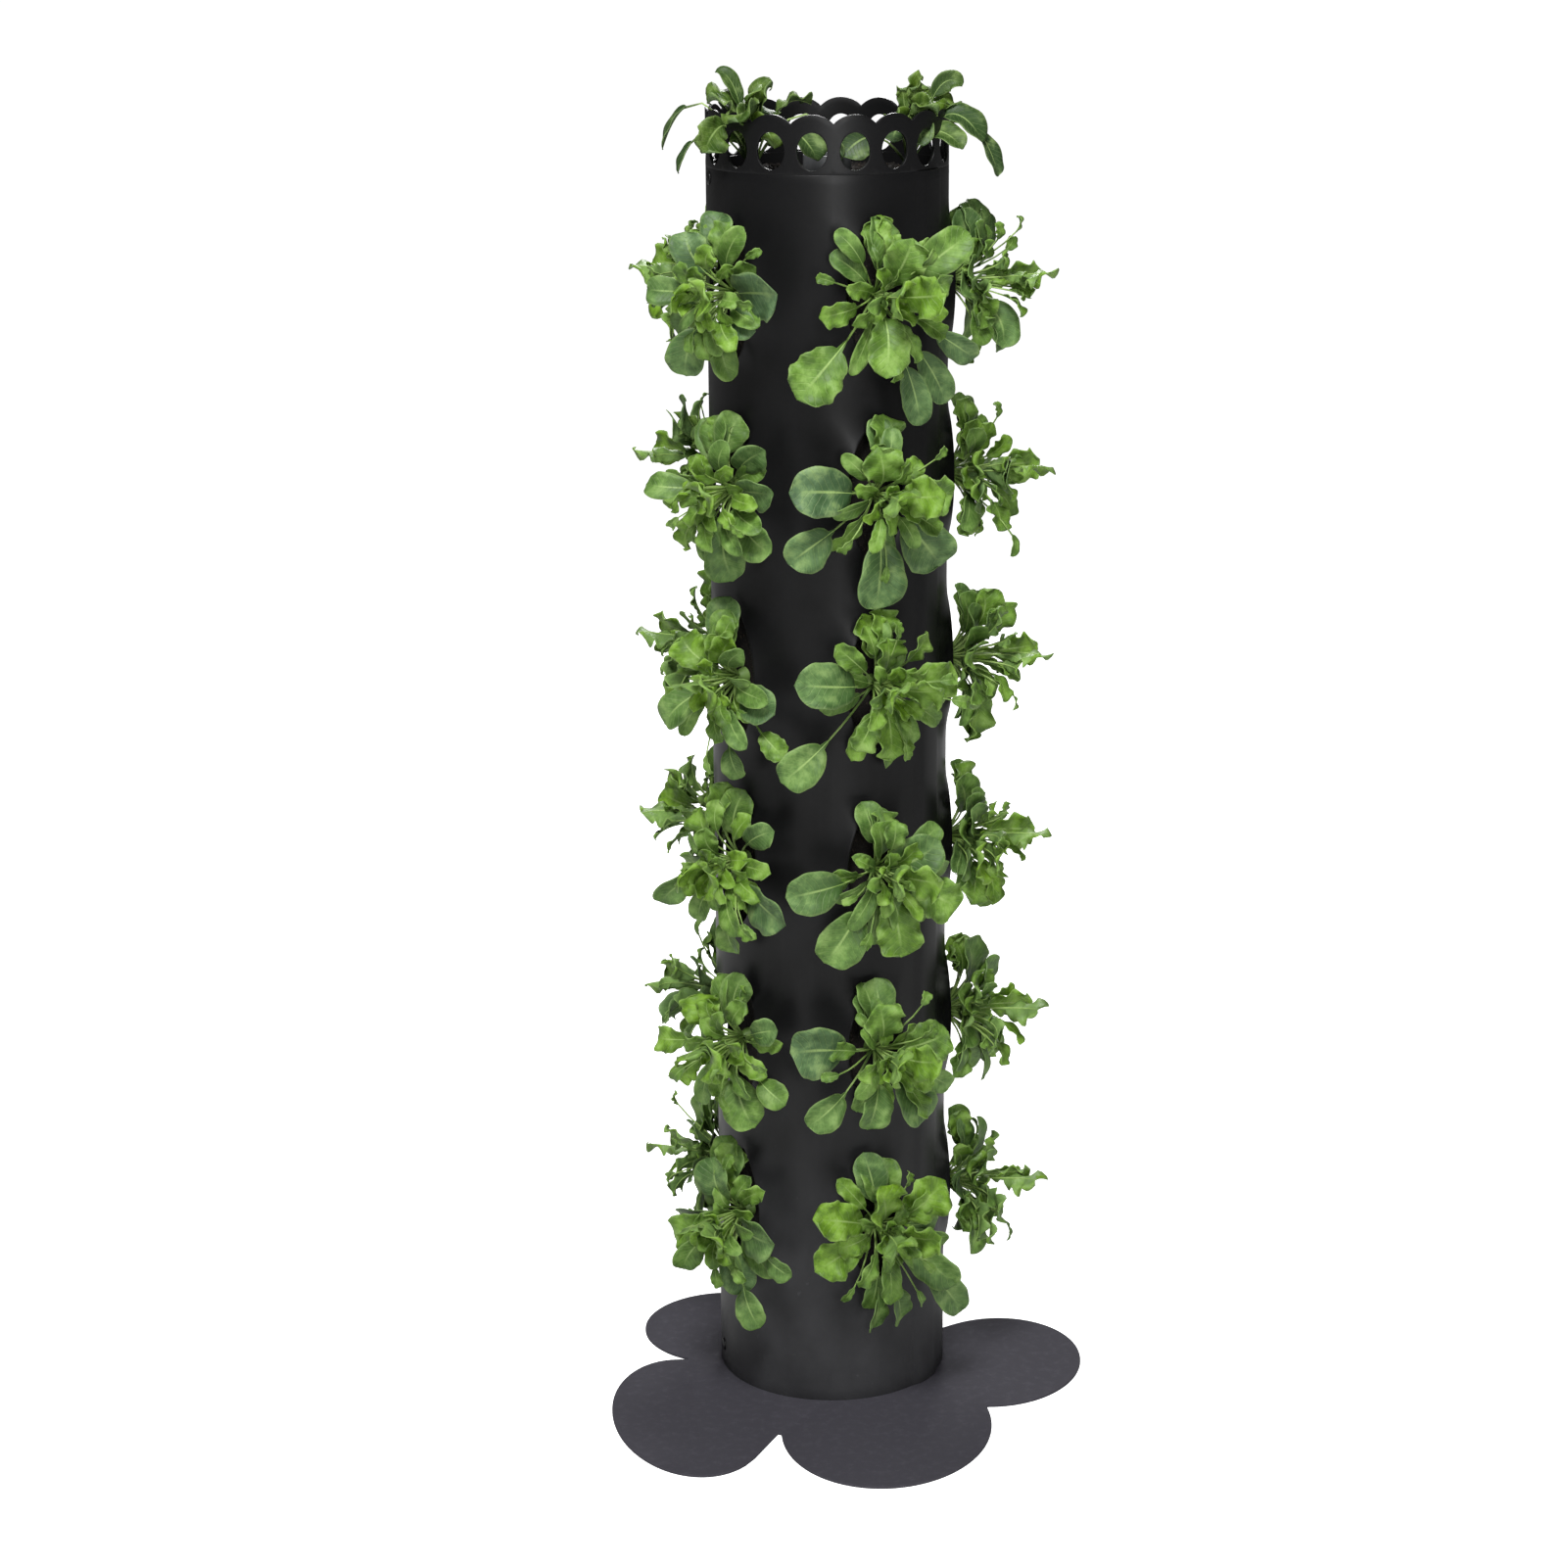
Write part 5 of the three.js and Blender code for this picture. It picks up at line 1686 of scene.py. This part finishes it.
def build_slit_greens():
    """A plant in every slit, the two front columns' large leaves from their lists."""
    s = sizes()
    for column in range(s.columns):
        for row in range(s.rows):
            seed = column * s.rows + row
            draw = np.random.default_rng(greens().seed * 100 + seed)
            large = spread_leaves(column, row)
            if column == 0:
                large = FRONT_RIGHT_LEAF_SHARES[row]
            if column == s.columns - 1:
                large = FRONT_LEFT_LEAF_SHARES[row]
            habit = COLUMN_HABITS[column % len(COLUMN_HABITS)]
            lean = habit["lean"]
            blades = habit["blades"]
            heart = [*HEART_LEAF_SHARES, *filler_leaves(draw, greens().fillers)]
            heart += sprig_leaves(draw, SPRIGS) + top_leaves(draw, TOP_LEAVES)
            heart += low_leaves(draw, habit["low_leaves"], lean)
            leaves = [(*leaf[:3], leaf[3] * blades, leaf[4] * blades, leaf[5]) for leaf in large]
            leaves += [(side + lean * out, rise, out, *rest) for side, rise, out, *rest in heart]
            azimuth = column_azimuth(column)
            place = stood_at(azimuth, s.medium_radius + s.fit_gap, row_height(row))
            name = f"leaves_of_green_c{column + 1}_r{row + 1}"
            slot = "dark_leaf" if (column + row) % 2 else "bright_leaf"
            light = (habit["turn"], -1, 0)
            grow_plant(name, leaves, SLIT_HABIT, light, place, slot, seed)


# How far from the tower's axis the rim plants stand, and how far their blades turn to the viewer
RIM_PLANT_RADIUS = 0.086
RIM_TURN_SHARE = 0.9
# How near to their hearts the rim plants keep their small leaves, and how far these are raised
RIM_HEART_SHARE = 0.6
RIM_HEART_RISE = 0.1
RIM_SEED = 900
RIM_PLANTS = ((-62, "left", RIM_LEFT_LEAF_SHARES), (72, "right", RIM_RIGHT_LEAF_SHARES))


def build_rim_greens():
    """The two plants that stand in the soil's top and lean over the crown."""
    s = sizes()
    upright = Matrix.Rotation(pi, 4, "Z") @ Matrix.Rotation(-pi / 2, 4, "X")
    for seed, (azimuth, side_name, large) in enumerate(RIM_PLANTS):
        draw = np.random.default_rng(greens().seed * 10 + seed)
        heart = filler_leaves(draw, greens().fillers // 2)
        leaves = [*large]
        for side, rise, *rest in heart:
            leaves.append((side * RIM_HEART_SHARE, rise * RIM_HEART_SHARE + RIM_HEART_RISE, *rest))
        place = stood_at(azimuth, RIM_PLANT_RADIUS, s.medium_top + s.fit_gap) @ upright
        turn = radians(azimuth)
        light = (RIM_TURN_SHARE * sin(turn), -1, RIM_TURN_SHARE * cos(turn))
        name = f"leaves_of_rim_green_{side_name}"
        seed += RIM_SEED
        grow_plant(name, leaves, RIM_HABIT, light, place, "bright_leaf", seed, finish="rim_leaves")


# Operators


def make_finishes():
    """Builds the shared effects, the geometry trees and the finishes that several pieces share."""
    for build in (grain_group, dust_and_reflection_group, streak_group):
        build()
    for build in (copies_tree, scallop_tree, crumb_tree, leaf_tree):
        build()
    # The black sheet's lightening towards the bottom is partly dust and partly painted light reflected
    # from the floor
    plastic("black_sheet", colours().wall, rough=0.36, dust_reach=0.42, dust_amount=0.9)
    plastic("black_rivet", colours().wall, rough=0.3, dust_reach=0.1, dust_amount=0.2)
    leaf_material("leaves", colours().dark_leaf, colours().bright_leaf)
    # A darker copy of the leaf finish for the rim plants: painted shade
    leaf_material("rim_leaves", colours().rim_dark_leaf, colours().rim_bright_leaf)


class PLANTER_OT_stage(bpy.types.Operator):
    """Makes the shared finishes and sets the camera, lamps, white surroundings and floor"""

    bl_idname = "planter.stage"
    bl_label = "Set the stage"

    def execute(self, context):
        context.scene.view_settings.view_transform = "Standard"
        make_finishes()
        add_camera()
        add_world()
        add_floor()
        for name, settings in SOFTBOXES.items():
            add_softbox(name, *settings)
        return {"FINISHED"}


class PLANTER_OT_foot_plate(bpy.types.Operator):
    """Builds the flower-shaped foot plate with its drain and screw holes"""

    bl_idname = "planter.foot_plate"
    bl_label = "Foot plate"

    def execute(self, context):
        build_foot_plate()
        return {"FINISHED"}


class PLANTER_OT_wall(bpy.types.Operator):
    """Builds the rolled wall with its lapped seam and planting slits"""

    bl_idname = "planter.wall"
    bl_label = "Rolled wall"

    def execute(self, context):
        build_wall()
        return {"FINISHED"}


class PLANTER_OT_crown(bpy.types.Operator):
    """Builds the scalloped crown with its holes and its spigot"""

    bl_idname = "planter.crown"
    bl_label = "Crown"

    def execute(self, context):
        build_crown()
        return {"FINISHED"}


class PLANTER_OT_fasteners(bpy.types.Operator):
    """Builds the seam, crown and pan rivets and the screws under the foot plate"""

    bl_idname = "planter.fasteners"
    bl_label = "Rivets and screws"

    def execute(self, context):
        build_fasteners()
        return {"FINISHED"}


class PLANTER_OT_inner_pieces(bpy.types.Operator):
    """Builds the watering pipe and the soil, and finishes the drain pan"""

    bl_idname = "planter.inner_pieces"
    bl_label = "Pan, pipe and soil"

    def execute(self, context):
        finish_pan()
        build_pipe()
        build_soil()
        return {"FINISHED"}


class PLANTER_OT_slit_greens(bpy.types.Operator):
    """Grows a plant in every slit"""

    bl_idname = "planter.slit_greens"
    bl_label = "Greens in the slits"

    def execute(self, context):
        build_slit_greens()
        return {"FINISHED"}


class PLANTER_OT_rim_greens(bpy.types.Operator):
    """Grows the two plants that lean over the crown"""

    bl_idname = "planter.rim_greens"
    bl_label = "Greens on the top"

    def execute(self, context):
        build_rim_greens()
        return {"FINISHED"}


STEPS = (
    PLANTER_OT_stage,
    PLANTER_OT_foot_plate,
    PLANTER_OT_wall,
    PLANTER_OT_crown,
    PLANTER_OT_fasteners,
    PLANTER_OT_inner_pieces,
    PLANTER_OT_slit_greens,
    PLANTER_OT_rim_greens,
)


class PLANTER_PT_tower(bpy.types.Panel):
    """Lists the steps and the sizes and colours"""

    bl_idname = "PLANTER_PT_tower"
    bl_label = "Planter tower"
    bl_space_type = "VIEW_3D"
    bl_region_type = "UI"
    bl_category = "Planter tower"

    def draw(self, context):
        layout = self.layout
        for step in STEPS:
            layout.operator(step.bl_idname)
        for group in (sizes(), greens(), colours()):
            column = layout.column()
            for name in type(group).__annotations__:
                column.prop(group, name)


CLASSES = (TowerSizes, GreenSizes, TowerColours, *STEPS, PLANTER_PT_tower)


def register():
    """Registers the classes and gives the scene its sizes and colours."""
    for cls in CLASSES:
        bpy.utils.register_class(cls)
    bpy.types.Scene.tower_sizes = PointerProperty(type=TowerSizes)
    bpy.types.Scene.green_sizes = PointerProperty(type=GreenSizes)
    bpy.types.Scene.tower_colours = PointerProperty(type=TowerColours)


def unregister():
    """Undoes what register does."""
    del bpy.types.Scene.tower_sizes
    del bpy.types.Scene.green_sizes
    del bpy.types.Scene.tower_colours
    for cls in reversed(CLASSES):
        bpy.utils.unregister_class(cls)


def main():
    """Runs every step in order."""
    register()
    for step in STEPS:
        getattr(bpy.ops.planter, step.bl_idname.split(".")[1])()


if __name__ == "__main__":
    main()
